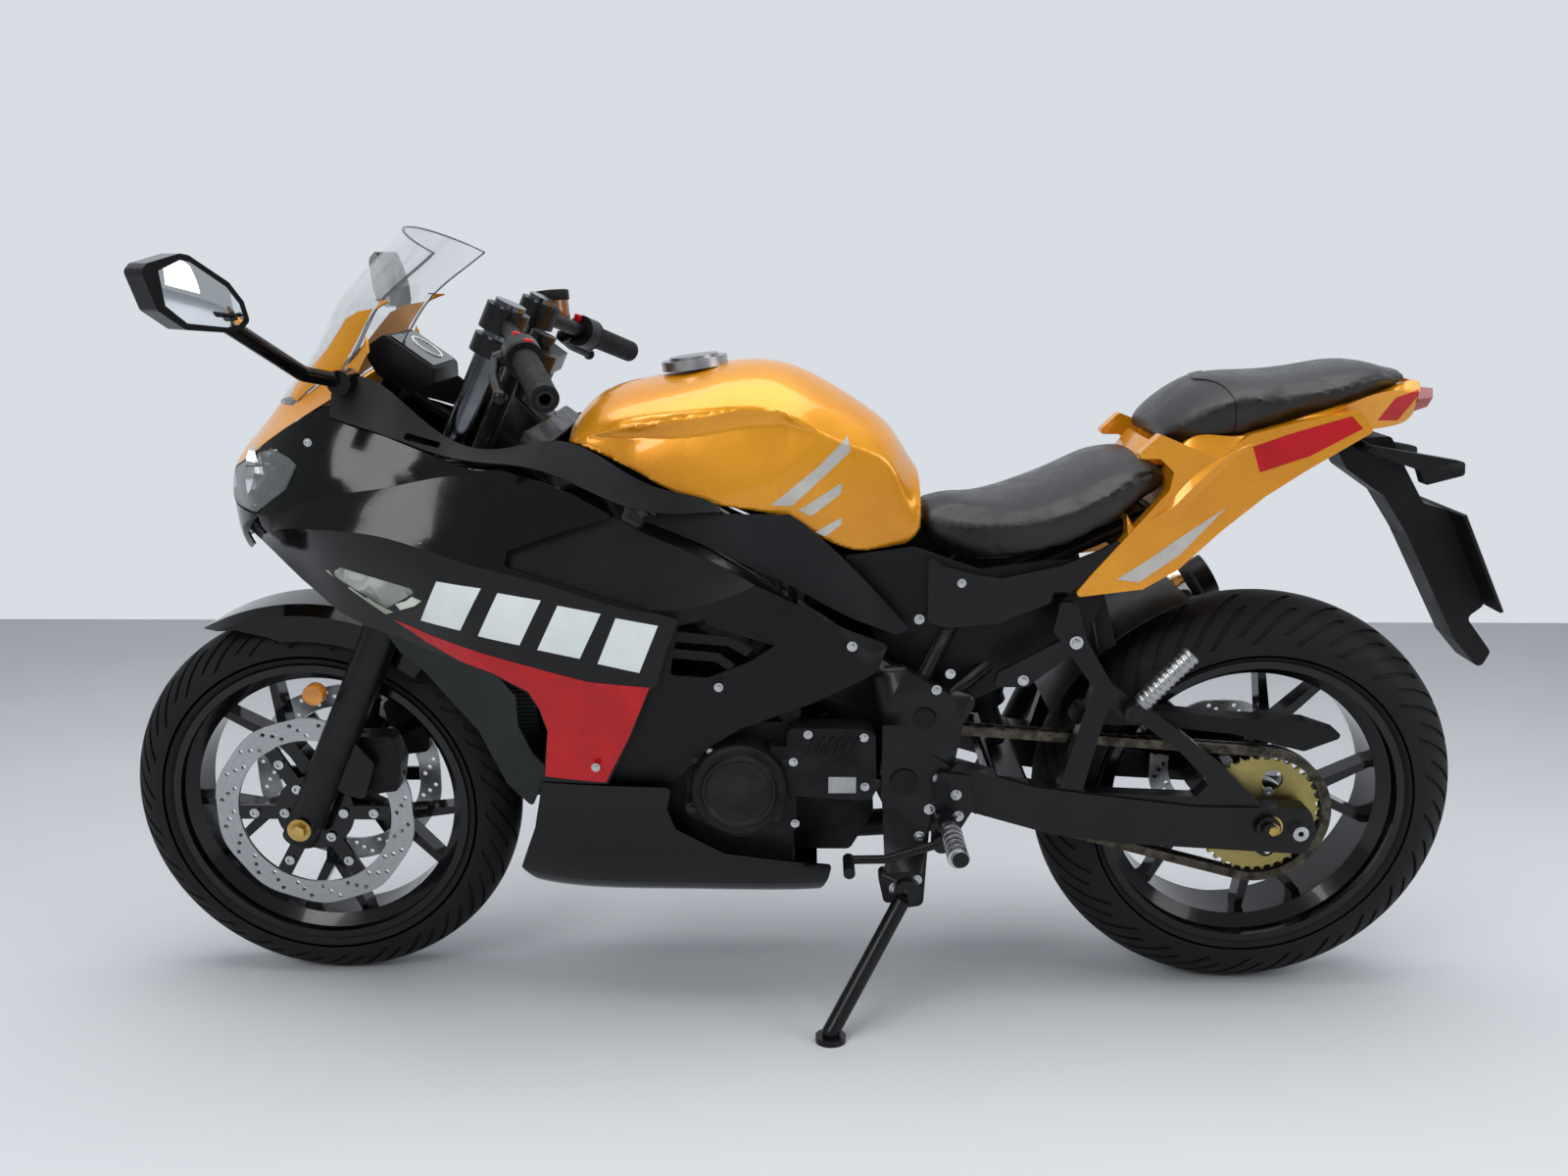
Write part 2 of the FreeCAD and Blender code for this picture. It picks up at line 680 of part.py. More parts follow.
def swingarm():
    """Two box arms, a bridge between the chain runs, an upper brace on each side, the axle and its nuts."""
    arm = side_plate([(147, 408), (200, 414), (363, 366), (588, 338), (748, 336), (762, 300), (748, 266), (490, 281),
                      (386, 295), (158, 362)], arm_inner, arm_outer, 12)
    brace = side_plate([(392, 352), (436, 518), (458, 522), (500, 494), (567, 443), (623, 396), (690, 332), (600, 330)],
                       arm_inner + 4, arm_outer - 4, 8)
    window = side_plate([(428, 358), (456, 482), (480, 480), (562, 418), (606, 372), (588, 352)], 0, arm_outer + cut_overrun, 8)
    brace = brace.cut(window)
    barrel = Part.makeCylinder(24, 2 * arm_outer, vec(pivot_x, -arm_outer, pivot_z), side_axis)
    bridge = side_plate([(300, 384), (352, 378), (356, 338), (300, 344)], -arm_outer + 4, arm_outer - 4, 8)
    axle = Part.makeCylinder(rear_axle_radius, 300, vec(rear_x, -150, rear_z), side_axis)
    nut_y = arm_outer
    nut = Part.makeCylinder(17, 9, vec(rear_x, nut_y - 1, rear_z), side_axis)
    shapes = [barrel, bridge, axle]
    for piece in (arm, brace, nut):
        shapes += [piece, mirrored(piece)]
    whole = fused(shapes)
    shaft = Part.makeCylinder(12 + axle_gap, 2 * arm_outer + 2 * cut_overrun,
                              vec(pivot_x, -arm_outer - cut_overrun, pivot_z), side_axis)
    return whole.cut(shaft)


def stand_spools():
    """Threaded sleeves on the arm's ends that a paddock stand's spools screw into."""
    start = vec(spool_x, arm_outer, rear_z - 6)
    sleeve = Part.makeCylinder(spool_boss_radius, spool_length, start, side_axis)
    sleeve = sleeve.cut(Part.makeCylinder(spool_hole_radius, spool_length, start, side_axis))
    return both_sides(mirrored(sleeve))


spool_x = 734.0


def rear_shock():
    low, high = vec(322, 0, 400), vec(236, 0, 640)
    along = (high - low).normalize()
    body = rod(low, high, 16)
    coils = [rod(low + along * (60 + 22 * k), low + along * (71 + 22 * k), 33) for k in range(7)]
    collar = rod(low + along * 44, low + along * 58, 30)
    top = rod(high - along * 34, high - along * 20, 30)
    eye = Part.makeCylinder(15, 60, vec(high.x, -30, high.z), side_axis)
    low_eye = Part.makeCylinder(14, 40, vec(low.x, -20, 396.4), side_axis)
    return fused([body, collar, top, eye, low_eye] + coils)


def chain_guard():
    """A narrow cover over the upper run of the chain."""
    line = [(410, 452), (529, 450), (640, 438), (741, 412), (800, 436), (742, 456), (633, 462), (529, 472), (420, 478)]
    top = side_plate(line, -109.7, -80, 6)
    return top


def rear_caliper():
    body = side_plate([(566, 372), (628, 392), (642, 352), (640, 330), (580, 330)], 74, 105.7, 8)
    slot = Part.makeCylinder(rear_disc_radius + 5, disc_thickness + 3, vec(rear_x, rear_disc_offset - disc_thickness / 2 - 1.5, rear_z), side_axis)
    return body.cut(slot)


# Tank, seats and tail
def arch(x, half, low, shoulder_half, shoulder, crown):
    """A section of the tank: a flat bottom, sides up to the shoulders and a curved top."""
    inward = 0.62
    top = [(-shoulder_half, shoulder), (-shoulder_half * inward, shoulder + (crown - shoulder) * 0.66), (0, crown),
           (shoulder_half * inward, shoulder + (crown - shoulder) * 0.66), (shoulder_half, shoulder)]
    swell = (half + shoulder_half) / 2 + 3
    right = [(shoulder_half, shoulder), (swell, (shoulder + low) / 2), (half, low)]
    left = [(-half, low), (-swell, (shoulder + low) / 2), (-shoulder_half, shoulder)]
    return (x, [left, top, right, [(half, low), (-half, low)]])


tank_stations = [
    arch(-286, 60, 838, 52, 850, 866),
    arch(-255, 128, 846, 104, 868, 900),
    arch(-200, 138, 822, 120, 884, 922),
    arch(-126, 142, 784, 130, 893, 936),
    arch(-50, 142, 766, 132, 898, 950),
    arch(10, 138, 752, 130, 890, 945),
    arch(70, 122, 716, 118, 858, 918),
    arch(118, 104, 700, 104, 838, 888),
    arch(160, 92, 704, 92, 806, 852),
    arch(196, 82, 726, 80, 762, 798),
]


def fuel_tank():
    return body_loft(tank_stations)


def fuel_cap():
    top = vec(-118, 0, 952)
    up = vec(-0.13, 0, 1).normalize()
    ring = rod(top - up * 13, top, 46)
    lid = rod(top - up * 2, top + up * 4, 34)
    return fused([ring, lid])


def cushion(x, half, low, edge, crown):
    """A section of a seat: a flat base, upright sides and a gently domed top."""
    return (x, [[(-half * 0.86, low), (-half, edge)],
                [(-half, edge), (-half * 0.6, edge + (crown - edge) * 0.72), (0, crown), (half * 0.6, edge + (crown - edge) * 0.72), (half, edge)],
                [(half, edge), (half * 0.86, low)],
                [(half * 0.86, low), (-half * 0.86, low)]])


rider_seat_stations = [
    cushion(202, 62, 716, 744, 758),
    cushion(240, 80, 690, 738, 757),
    cushion(300, 118, 690, 740, 757),
    cushion(360, 142, 704, 752, 774),
    cushion(420, 146, 728, 776, 800),
    cushion(480, 128, 764, 806, 823),
    cushion(522, 104, 790, 808, 812),
]
pillion_seat_stations = [
    cushion(512, 92, 842, 852, 862),
    cushion(530, 104, 842, 868, 886),
    cushion(556, 114, 845, 886, 907),
    cushion(592, 122, 852, 902, 923),
    cushion(660, 120, 870, 909, 929),
    cushion(740, 108, 895, 922, 938),
    cushion(806, 86, 914, 932, 942),
    cushion(850, 56, 922, 931, 937),
]


def rider_seat():
    return body_loft(rider_seat_stations)


def pillion_seat():
    return body_loft(pillion_seat_stations)


def hull(x, half, low, mid_half, mid, high_half, high):
    """A section of the tail: a flat bottom, sides with a ridge and a flat top."""
    return (x, [[(-half, low), (-mid_half, mid)], [(-mid_half, mid), (-high_half, high)],
                [(-high_half, high), (high_half, high)], [(high_half, high), (mid_half, mid)],
                [(mid_half, mid), (half, low)], [(half, low), (-half, low)]])


tail_stations = [
    hull(470, 112, 690, 122, 722, 108, 752),
    hull(520, 116, 706, 128, 762, 106, 786),
    hull(534, 116, 712, 129, 776, 104, 838),
    hull(600, 112, 772, 126, 838, 112, 858),
    hull(680, 102, 820, 118, 868, 108, 878),
    hull(760, 84, 856, 100, 902, 92, 900),
    hull(838, 58, 866, 72, 912, 66, 922),
    hull(862, 48, 880, 60, 910, 56, 922),
]


wing_line = [(470, 830), (503, 862), (578, 831), (620, 862), (688, 880), (760, 892), (779, 866), (695, 813), (647, 780),
             (593, 733), (539, 679), (494, 652), (400, 640), (424, 672), (470, 727), (520, 787), (524, 812), (505, 830)]
wing_inner = 104.0
wing_outer = 124.0


def tail_cowl():
    """The shell round the tail with the wing that hangs down at each side."""
    body = body_loft(tail_stations)
    wing = side_plate(wing_line, wing_inner, wing_outer, 5)
    shell = fused([body, wing, mirrored(wing)])
    return shell


# Bodywork
panel_wall = 4.0
under_inset = 14.0
fairing_stations = [
    (-725, [(88, 850), (102, 803), (118, 760), (112, 730), (94, 700), (80, 640), (76, 560), (72, 470), (68, 400), (60, 330)]),
    (-690, [(112, 850), (134, 803), (152, 760), (138, 730), (114, 700), (100, 640), (96, 560), (92, 470), (88, 400), (80, 330)]),
    (-640, [(128, 884), (158, 826), (176, 771), (190, 749), (146, 700), (122, 640), (112, 560), (104, 470), (100, 400), (92, 330)]),
    (-600, [(130, 905), (168, 835), (184, 786), (206, 752), (166, 690), (140, 620), (124, 560), (116, 470), (112, 400), (104, 330)]),
    (-500, [(150, 895), (172, 845), (192, 804), (224, 746), (206, 690), (176, 620), (152, 560), (140, 470), (136, 400), (128, 330)]),
    (-400, [(160, 880), (180, 842), (196, 820), (228, 714), (224, 660), (208, 600), (192, 550), (172, 470), (158, 400), (146, 330)]),
    (-290, [(170, 870), (184, 822), (194, 796), (228, 684), (226, 640), (220, 590), (210, 540), (196, 470), (178, 400), (160, 330)]),
    (-160, [(160, 860), (176, 800), (186, 760), (224, 646), (222, 610), (219, 575), (212, 530), (202, 470), (186, 400), (170, 330)]),
    (-60, [(150, 840), (164, 780), (176, 730), (214, 662), (214, 620), (212, 575), (206, 530), (200, 470), (188, 400), (172, 330)]),
    (60, [(140, 820), (150, 760), (160, 710), (196, 660), (200, 620), (198, 575), (194, 530), (190, 470), (180, 400), (166, 330)]),
    (180, [(120, 800), (128, 740), (138, 690), (164, 650), (170, 610), (170, 575), (168, 530), (164, 470), (158, 400), (150, 330)]),
]
fairing_corners = [2, 3]
side_outline = [
    (-691, 761), (-640, 795), (-611, 821), (-640, 839), (-669, 847), (-711, 829.5), (-691, 844), (-651, 870),
    (-613, 892), (-586, 904), (-581, 890), (-528, 873), (-472, 853), (-422, 836), (-390, 827), (-348, 824),
    (-299, 810), (-254, 791), (-210, 766), (-275, 749), (-343, 727), (-346, 709), (-264, 682), (-195, 659),
    (-126, 637), (-141, 596), (-157, 546), (-169, 534), (-190, 480), (-234, 386.4), (-326, 386.4), (-322, 400),
    (-310, 471), (-318, 504), (-331, 529), (-377, 554), (-423, 566), (-544, 601), (-596, 624), (-651, 664),
    (-700, 712), (-719, 735),
]
under_outline = [
    (-212, 762), (-177, 743), (-92, 707), (-21, 672), (50, 635), (101, 605), (149, 583), (135, 552), (98, 531),
    (47, 507), (-8, 488), (-49, 473), (-86, 448), (-132, 400), (-146, 386.4), (-256, 386.4), (-212, 480),
    (-192, 545), (-170, 620), (-362, 694), (-362, 740), (-280, 756),
]
inner_outline = [
    (-536, 604), (-518, 567), (-483, 539), (-412, 459), (-379, 376), (-346, 340), (-326, 386.4), (-300, 386.4),
    (-336, 430), (-352, 474), (-350, 520), (-390, 575), (-470, 606),
]
signal_outline = [(-593, 683), (-572, 695), (-464, 672), (-518, 639)]
vent_outline = [(-128, 624), (-92, 632), (-36, 616), (2, 595), (-36, 570), (-92, 549), (-141, 554)]
louvres = [
    [(-134, 616), (-60, 606), (-30, 588), (-40, 578), (-64, 594), (-136, 602)],
    [(-138, 592), (-76, 584), (-54, 566), (-64, 558), (-80, 572), (-140, 579)],
    [(-90, 636), (6, 600), (4, 590), (-94, 624)],
]
louvre_inset = 2.0
belly_line = [
    (-188, 400), (-184, 340), (-174, 280), (-150, 222), (-104, 188), (0, 180), (104, 188), (150, 222), (174, 280),
    (184, 340), (188, 400),
]
belly_shares = [(-380, 0.86, 14), (-330, 0.91, 4), (-200, 0.985, 0), (-60, 1.0, 0), (90, 0.96, 4)]
belly_outline = [
    (-326, 386), (-146, 386), (-152, 352), (-142, 322), (-74, 281), (76, 256), (72, 232), (48, 160), (-326, 160),
    (-372, 236), (-342, 313),
]


def grown(outline, gap):
    """The same outline, larger by a gap all round, roughly, about its middle."""
    middle_x = sum(x for x, z in outline) / len(outline)
    middle_z = sum(z for x, z in outline) / len(outline)
    moved = []
    for x, z in outline:
        dx, dz = x - middle_x, z - middle_z
        share = 1 + 2 * gap / math.hypot(dx, dz)
        moved.append((middle_x + dx * share, middle_z + dz * share))
    return moved


def fairing_cut(outline, radius=6.0, inset=0.0, wall=panel_wall):
    """A piece of the right-hand fairing surface, moved inward by an inset, with an outline in the side view."""
    stations = [(x, [(y - inset, z) for y, z in line]) for x, line in fairing_stations]
    sheet = shell_panel(stations, fairing_corners, wall)
    return sheet.common(side_plate(outline, 40, 260, radius))


def side_fairings():
    """The gloss side panels with their two ridges, and the chin that joins them under the headlights."""
    panel = fairing_cut(side_outline, 2.5)
    panel = panel.cut(side_plate(grown(signal_outline, running_gap), 40, 260, 5))
    chin = made_once(nose_sheet).common(side_plate(chin_outline, -260, 260))
    chin = chin.common(front_plate([(-150, 600), (-150, 900), (150, 900), (150, 600)], -900, -600))
    panels = [panel, mirrored(panel)]
    middle = max(chin.cut(Part.Compound(panels)).Solids, key=lambda solid: solid.Volume)
    return Part.Compound(panels + [middle])


def under_fairings():
    """The textured panels behind the gloss ones, each with a louvred vent."""
    panel = fairing_cut(under_outline, 4, under_inset)
    panel = panel.cut(side_plate(vent_outline, 100, 260, 5))
    slats = [fairing_cut(outline, 2, under_inset + louvre_inset, panel_wall - 1) for outline in louvres]
    return both_sides(mirrored(fused([panel] + slats)))


def inner_fairings():
    """The matte panels between the front wheel and the gloss side panels."""
    panel = fairing_cut(inner_outline, 5, panel_wall).cut(made_once(side_fairings))
    return both_sides(mirrored(max(panel.Solids, key=lambda solid: solid.Volume)))


def belly_pan():
    """The lower fairing that joins the two sides under the engine."""
    stations = []
    for x, share, lift in belly_shares:
        stations.append((x, [(y * share, z + lift) for y, z in belly_line]))
    sheet = shell_panel(stations, [3, 7], -panel_wall)
    return sheet.common(side_plate(belly_outline, -260, 260, 6))


shoulder_stations = [
    (-581, [(148, 889), (130, 922)]), (-528, [(162, 874), (134, 936)]), (-472, [(166, 854.5), (146, 896)]),
    (-418, [(170, 837), (150, 855)]), (-330, [(178, 828), (150, 851)]), (-259, [(180, 805), (148.5, 851)]),
    (-202, [(172, 777), (148.5, 818)]), (-131, [(160, 763), (148.5, 789)]), (-74, [(154, 762.5), (148.5, 766)]),
]
knee_stations = [
    (-190, [(146, 775), (150, 745), (152, 700), (152, 640)]), (-60, [(146, 775), (152, 730), (156, 690), (156, 640)]),
    (40, [(142, 775), (150, 720), (156, 670), (156, 620)]), (100, [(122, 740), (134, 680), (146, 620), (150, 580)]),
    (190, [(104, 700), (116, 640), (128, 590), (134, 560)]),
]
knee_outline = [
    (-176, 757), (-66, 760.5), (17, 760), (39, 745), (87, 699), (124, 659), (181, 595), (162, 589), (102, 616),
    (14, 668), (-95, 718), (-180, 751),
]
thin_wall = 3.0


def dash_panels():
    """The matte shoulders from the screen back along the tank, each with a slot."""
    sheet = shell_panel(shoulder_stations, [], thin_wall)
    slot = side_plate([(-482, 862), (-436, 850), (-434, 857), (-478, 871)], 100, 260, 3)
    return both_sides(mirrored(sheet.cut(slot)))


def knee_panels():
    """The matte panels under the tank, from the shoulders back to the seat."""
    sheet = shell_panel(knee_stations, [], thin_wall)
    return both_sides(mirrored(sheet.common(side_plate(knee_outline, 60, 260, 3))))


def side_covers():
    """The gloss covers below the rider's seat."""
    line = [(204, 700), (222, 684), (266, 672), (304, 666), (384, 684), (436, 706), (460, 722), (464, 702), (391, 640),
            (300, 602), (230, 596), (206, 604)]
    plate = side_plate(line, 116, 121, 6)
    return both_sides(mirrored(plate))


def slice_panel(stations, thickness):
    """A panel lofted up through plan-view strips. Each station is (z, list of (x, y) points)."""
    wires = []
    for z, line in stations:
        inner = offset_line(line, thickness)
        outer_edge = smooth_edge([vec(a, b, z) for a, b in line])
        inner_edge = smooth_edge([vec(a, b, z) for a, b in reversed(inner)])
        first = Part.makeLine(vec(line[-1][0], line[-1][1], z), vec(inner[-1][0], inner[-1][1], z))
        last = Part.makeLine(vec(inner[0][0], inner[0][1], z), vec(line[0][0], line[0][1], z))
        wires.append(Part.Wire([outer_edge, first, inner_edge, last]))
    return Part.makeLoft(wires, True, False)


def even_line(half_points):
    """A left-to-right line from its right half, given from the middle out."""
    left = [(x, -y) for x, y in reversed(half_points[1:])]
    return left + half_points


nose_slices = [
    (700, even_line([(-772, 0), (-750, 60), (-716, 110), (-690, 132), (-660, 142)])),
    (757, even_line([(-778, 0), (-760, 60), (-730, 110), (-698, 146), (-664, 170)])),
    (804, even_line([(-774, 0), (-752, 60), (-716, 110), (-684, 142), (-640, 168)])),
    (850, even_line([(-738, 0), (-720, 60), (-690, 110), (-655, 142), (-610, 166)])),
    (900, even_line([(-694, 0), (-674, 60), (-622, 110), (-584, 142), (-540, 162)])),
    (945, even_line([(-660, 0), (-638, 60), (-578, 102), (-556, 118), (-530, 134)])),
    (1036, even_line([(-602, 0), (-574, 70), (-514, 115), (-505, 124), (-492, 134)])),
]
chin_outline = [(-800, 690), (-800, 773), (-779, 773), (-743, 761), (-689, 760), (-714, 731), (-706, 716), (-724, 704), (-760, 702)]
headlight_outline = [
    (-800, 776), (-777, 776), (-743, 764), (-692, 763), (-641, 797), (-613, 821), (-640, 837.5), (-669, 845.5),
    (-712, 829), (-776, 798.5), (-800, 798.5),
]
nose_outline = [
    (-800, 800), (-776, 800), (-713, 831), (-691, 845.8), (-651, 872), (-613, 894), (-576, 915), (-556, 924),
    (-547, 944), (-541, 958), (-493, 1030), (-500, 1037), (-620, 1040), (-800, 860),
]
screen_window = [
    (86, 896.5), (102.5, 945), (115.5, 1036), (115.5, 1100), (-115.5, 1100), (-115.5, 1036), (-102.5, 945), (-86, 896.5),
]
headlight_gap = 10.0


def nose_sheet():
    return slice_panel(nose_slices, panel_wall)


def nose_cowl():
    """The painted band over the headlights, with a horn up each side of the screen."""
    sheet = made_once(nose_sheet).common(side_plate(nose_outline, -260, 260))
    return sheet.cut(front_plate(screen_window, -900, -300))


def headlights():
    sheet = made_once(nose_sheet).common(side_plate(headlight_outline, headlight_gap, 240, 2))
    panel = made_once(side_fairings)
    lens = max(sheet.cut(panel).Solids, key=lambda solid: solid.Volume)
    return both_sides(mirrored(lens))


screen_slices = [
    (897, even_line([(-696.5, 0), (-677, 60), (-648, 88)])),
    (945, even_line([(-660, 0), (-638, 60), (-574, 105)])),
    (1000, even_line([(-624, 0), (-598, 66), (-538, 109)])),
    (1036, even_line([(-602, 0), (-574, 70), (-511, 118)])),
    (1066, even_line([(-570, 0), (-541, 78), (-474, 123)])),
    (1096, even_line([(-538, 0), (-508, 84), (-434, 131)])),
    (1136, even_line([(-492, 0), (-462, 90), (-384, 138)])),
]
screen_outline = [(-740, 880), (-400, 880), (-400, 1077), (-500, 1128), (-600, 1180), (-740, 1180)]
screen_front = [
    (85.4, 897), (101.9, 945), (114.9, 1036.4), (160, 1036.4), (160, 1180), (-160, 1180), (-160, 1036.4),
    (-114.9, 1036.4), (-101.9, 945), (-85.4, 897),
]
screen_wall = 3.5


def windscreen():
    """The clear screen, which fills the gap between the horns and flares out above them."""
    sheet = slice_panel(screen_slices, screen_wall).common(side_plate(screen_outline, -200, 200, 8))
    return sheet.common(front_plate(screen_front, -800, -300))


def gauge():
    body = side_plate([(-556, 984), (-534, 992), (-472, 946), (-486, 918), (-552, 950)], -78, 78, 8)
    return body


mirror_turn = 32.0
mirror_centre = (-655, 386, 0)


def mirrors():
    """A hexagonal housing on a stalk at each side."""
    head_line = [(25, 1078), (17, 1086), (-22, 1096), (-32, 1094), (-77, 1064), (-93, 1042), (-98, 1020), (-88, 1011),
                 (-70, 1008), (-18, 1014), (12, 1036)]
    head = front_plate(head_line, -34, 0, 7)
    head.rotate(origin, vec(0, 0, 1), mirror_turn)
    head.translate(vec(*mirror_centre))
    stalk = tube([vec(-561, 140, 934), vec(-590, 200, 950), vec(-624, 320, 1018)], 10, 30)
    foot = rod(vec(-560, 122, 934), vec(-562, 158, 934), 16)
    arm = fused([head, stalk, foot]).cut(Part.Compound([made_once(nose_cowl), made_once(dash_panels)]))
    outer = max(arm.Solids, key=lambda solid: solid.Volume)
    return both_sides(mirrored(outer))


def turn_signals():
    front = mirrored(fairing_cut(signal_outline, 5))
    rear = side_plate([(876, 786), (928, 800), (926, 818), (800, 840), (790, 833), (868, 806)], 60, 78, 5)
    rear = rear.fuse(rod(vec(800, 31, 836), vec(812, 70, 828), 7))
    return Part.Compound([front, mirrored(front), rear, mirrored(rear)])


def taillight():
    return body_loft([hull(862.3, 46, 882, 58, 900, 54, 916), hull(884, 40, 888, 52, 902, 48, 914)])


def rear_mudguard():
    """The plate carrier below the tail with its reflector bracket."""
    line = [(764, 842.5), (792, 842.5), (846, 846), (872, 800), (902, 752), (937.4, 741.9), (1007.4, 603.8), (985, 585),
            (1026, 534), (1014, 506), (972, 552), (884, 708), (846, 762), (790, 800)]
    arm = side_plate(line, -28, 28, 8)
    return arm


def number_plate():
    sheet = side_plate([(938, 742), (942, 744), (1012, 606), (1008, 604)], -70, 70)
    return sheet


def rider_footrests():
    """A bracket each side with its folding peg and pedal."""
    plate = side_plate([(216, 384), (222, 404), (262, 400), (272, 352), (250, 312), (220, 318)], pivot_plate_outer, 172, 6)
    peg = rod(vec(232, 168, 334), vec(240, 292, 334), 11)
    hinge = rod(vec(231, 160, 334), vec(232, 186, 334), 15)
    guard = side_plate([(262, 400), (250, 420), (236, 404), (256, 360), (266, 352)], pivot_plate_outer, 168, 4)
    pedal = tube([vec(228, 176, 300), vec(150, 186, 280), vec(96, 200, 286)], 6, 20)
    pedal_peg = rod(vec(98, 196, 286), vec(98, 240, 286), 8)
    link = rod(vec(228, 160, 300), vec(228, 182, 300), 13)
    lug = side_plate([(214, 330), (242, 330), (242, 290), (214, 290)], pivot_plate_outer, 170, 6)
    return both_sides(mirrored(fused([plate, peg, hinge, guard, pedal, pedal_peg, link, lug])))


def pillion_footrests():
    """A forked hanger each side with its folded peg."""
    hanger = side_plate([(380, 640), (402, 640), (418, 588), (456, 524), (500, 494), (500, 478), (470, 476), (440, 506), (402, 560),
                         (372, 600)], 138, 148, 5)
    stay = side_plate([(296, 520), (340, 520), (408, 574), (400, 596), (300, 540)], 138, 148, 5)
    mount = rod(vec(392, 98.6, 622), vec(392, 140, 622), 10)
    peg = rod(vec(482, 157, 486), vec(556, 159, 570), 11)
    hinge = rod(vec(484, 146, 488), vec(484, 166, 488), 13)
    return both_sides(mirrored(fused([hanger, stay, mount, peg, hinge])))


# Steering
def fork_yokes():
    """The steering stem between the lower and upper yokes."""
    lower = steering_point(lower_yoke_at - lower_yoke_thickness / 2)
    upper = steering_point(top_yoke_at + top_yoke_thickness / 2 + 8)
    stem = rod(lower, upper, stem_radius)
    nut = rod(upper, upper + fork_up * 10, 18)

    def yoke(at, thickness, clamp_radius):
        half = thickness / 2
        reach = fork_half_spacing
        boss = [rod(on_fork(at - half, y), on_fork(at + half, y), clamp_radius) for y in (-reach, reach)]
        corners = [on_fork(at - half, -reach, -16), on_fork(at - half, reach, -16), on_fork(at - half, reach, 20),
                   on_fork(at - half, 44, fork_offset + 34), on_fork(at - half, -44, fork_offset + 34), on_fork(at - half, -reach, 20)]
        web = Part.Face(rounded_wire(corners, 14)).extrude(fork_up * thickness)
        return [web] + boss

    whole = fused([stem, nut] + yoke(lower_yoke_at, lower_yoke_thickness, stanchion_radius + 11) +
                  yoke(top_yoke_at, top_yoke_thickness, stanchion_radius + 9))
    for y in (-fork_half_spacing, fork_half_spacing):
        whole = whole.cut(rod(on_fork(lower_yoke_at - 60, y), on_fork(top_yoke_at + 60, y), stanchion_radius))
    return whole


def fork_stanchions():
    tubes = [rod(on_fork(slider_length, y), on_fork(stanchion_top, y), stanchion_radius) for y in (-fork_half_spacing, fork_half_spacing)]
    return Part.Compound(tubes)


def fork_sliders():
    """The lower legs with their feet and the front axle between them."""
    shapes = []
    for y in (-fork_half_spacing, fork_half_spacing):
        leg = rod(on_fork(-slider_foot, y), on_fork(slider_length, y), slider_radius)
        collar = rod(on_fork(slider_length - 26, y), on_fork(slider_length, y), slider_radius + 5)
        foot = Part.makeCylinder(24, 40, vec(front_x, y - 20, front_z), side_axis)
        mount = side_plate([(-640, 400), (-606, 420), (-580, 386), (-600, 330), (-636, 344)], y - 9, y + 9, 8)
        shapes += [leg, collar, foot, mount]
    axle = Part.makeCylinder(front_axle_radius, 2 * (fork_half_spacing + 24), vec(front_x, -fork_half_spacing - 24, front_z), side_axis)
    bore = Part.makeCylinder(front_axle_bore_radius, 2 * (fork_half_spacing + 24 + cut_overrun),
                             vec(front_x, -fork_half_spacing - 24 - cut_overrun, front_z), side_axis)
    return fused(shapes + [axle]).cut(bore)


def handlebars():
    """A clamp and a sloping bar on each fork tube, above the top yoke."""
    y = fork_half_spacing
    clamp = rod(on_fork(bar_clamp_at - bar_clamp_length / 2, y), on_fork(bar_clamp_at + bar_clamp_length / 2, y), bar_clamp_radius)
    root = on_fork(bar_clamp_at, y, 0)
    end = vec(bar_end_x, bar_end_y, bar_end_z)
    along = (end - root).normalize()
    bar = rod(root + along * 22, end, bar_radius)
    whole = fused([clamp, bar]).cut(rod(on_fork(bar_clamp_at - 60, y), on_fork(bar_clamp_at + 60, y), stanchion_radius))
    whole = whole.cut(rod(end - along * bar_bore_length, end + along * cut_overrun, bar_bore_radius))
    return both_sides(mirrored(whole))


def bar_line():
    root = on_fork(bar_clamp_at, fork_half_spacing, 0)
    end = vec(bar_end_x, bar_end_y, bar_end_z)
    return root, end, (end - root).normalize()


def grips():
    root, end, along = bar_line()
    tail = end - along * 1
    start = tail - along * grip_length
    grip = rod(start, tail, grip_radius)
    flange = rod(start - along * grip_flange_width, start, grip_flange_radius)
    whole = fused([grip, flange]).cut(rod(start - along * 40, end + along * 20, bar_radius))
    return both_sides(mirrored(whole))


def controls():
    """The switch housings, the levers ahead of the grips and the brake reservoir."""
    root, end, along = bar_line()
    ahead = vec(-0.86, -0.32, -0.12)
    housing_at = end - along * (grip_length + 34)
    housing = rod(housing_at, housing_at + along * 26, 24)
    perch = rod(housing_at + along * 6 + ahead * 18, housing_at + along * 18 + ahead * 44, 10)
    pivot = housing_at + along * 14 + ahead * 42
    tip = end - along * 22 + ahead * lever_reach
    lever = tube([pivot, pivot + (tip - pivot) * 0.5 + ahead * 6, tip], lever_radius, 30)
    ball = Part.makeSphere(lever_ball_radius, tip)
    side = fused([housing, perch, lever, ball]).cut(rod(root, end, bar_radius))
    left = mirrored(side)
    pot_foot = vec(-346, 176, 992)
    pot = rod(pot_foot, pot_foot + vec(-4, 4, 44), 24)
    neck = rod(housing_at + along * 2, pot_foot + vec(0, 0, 6), 8)
    right = fused([side, pot, neck])
    return Part.Compound([left, right.cut(rod(root, end, bar_radius))])


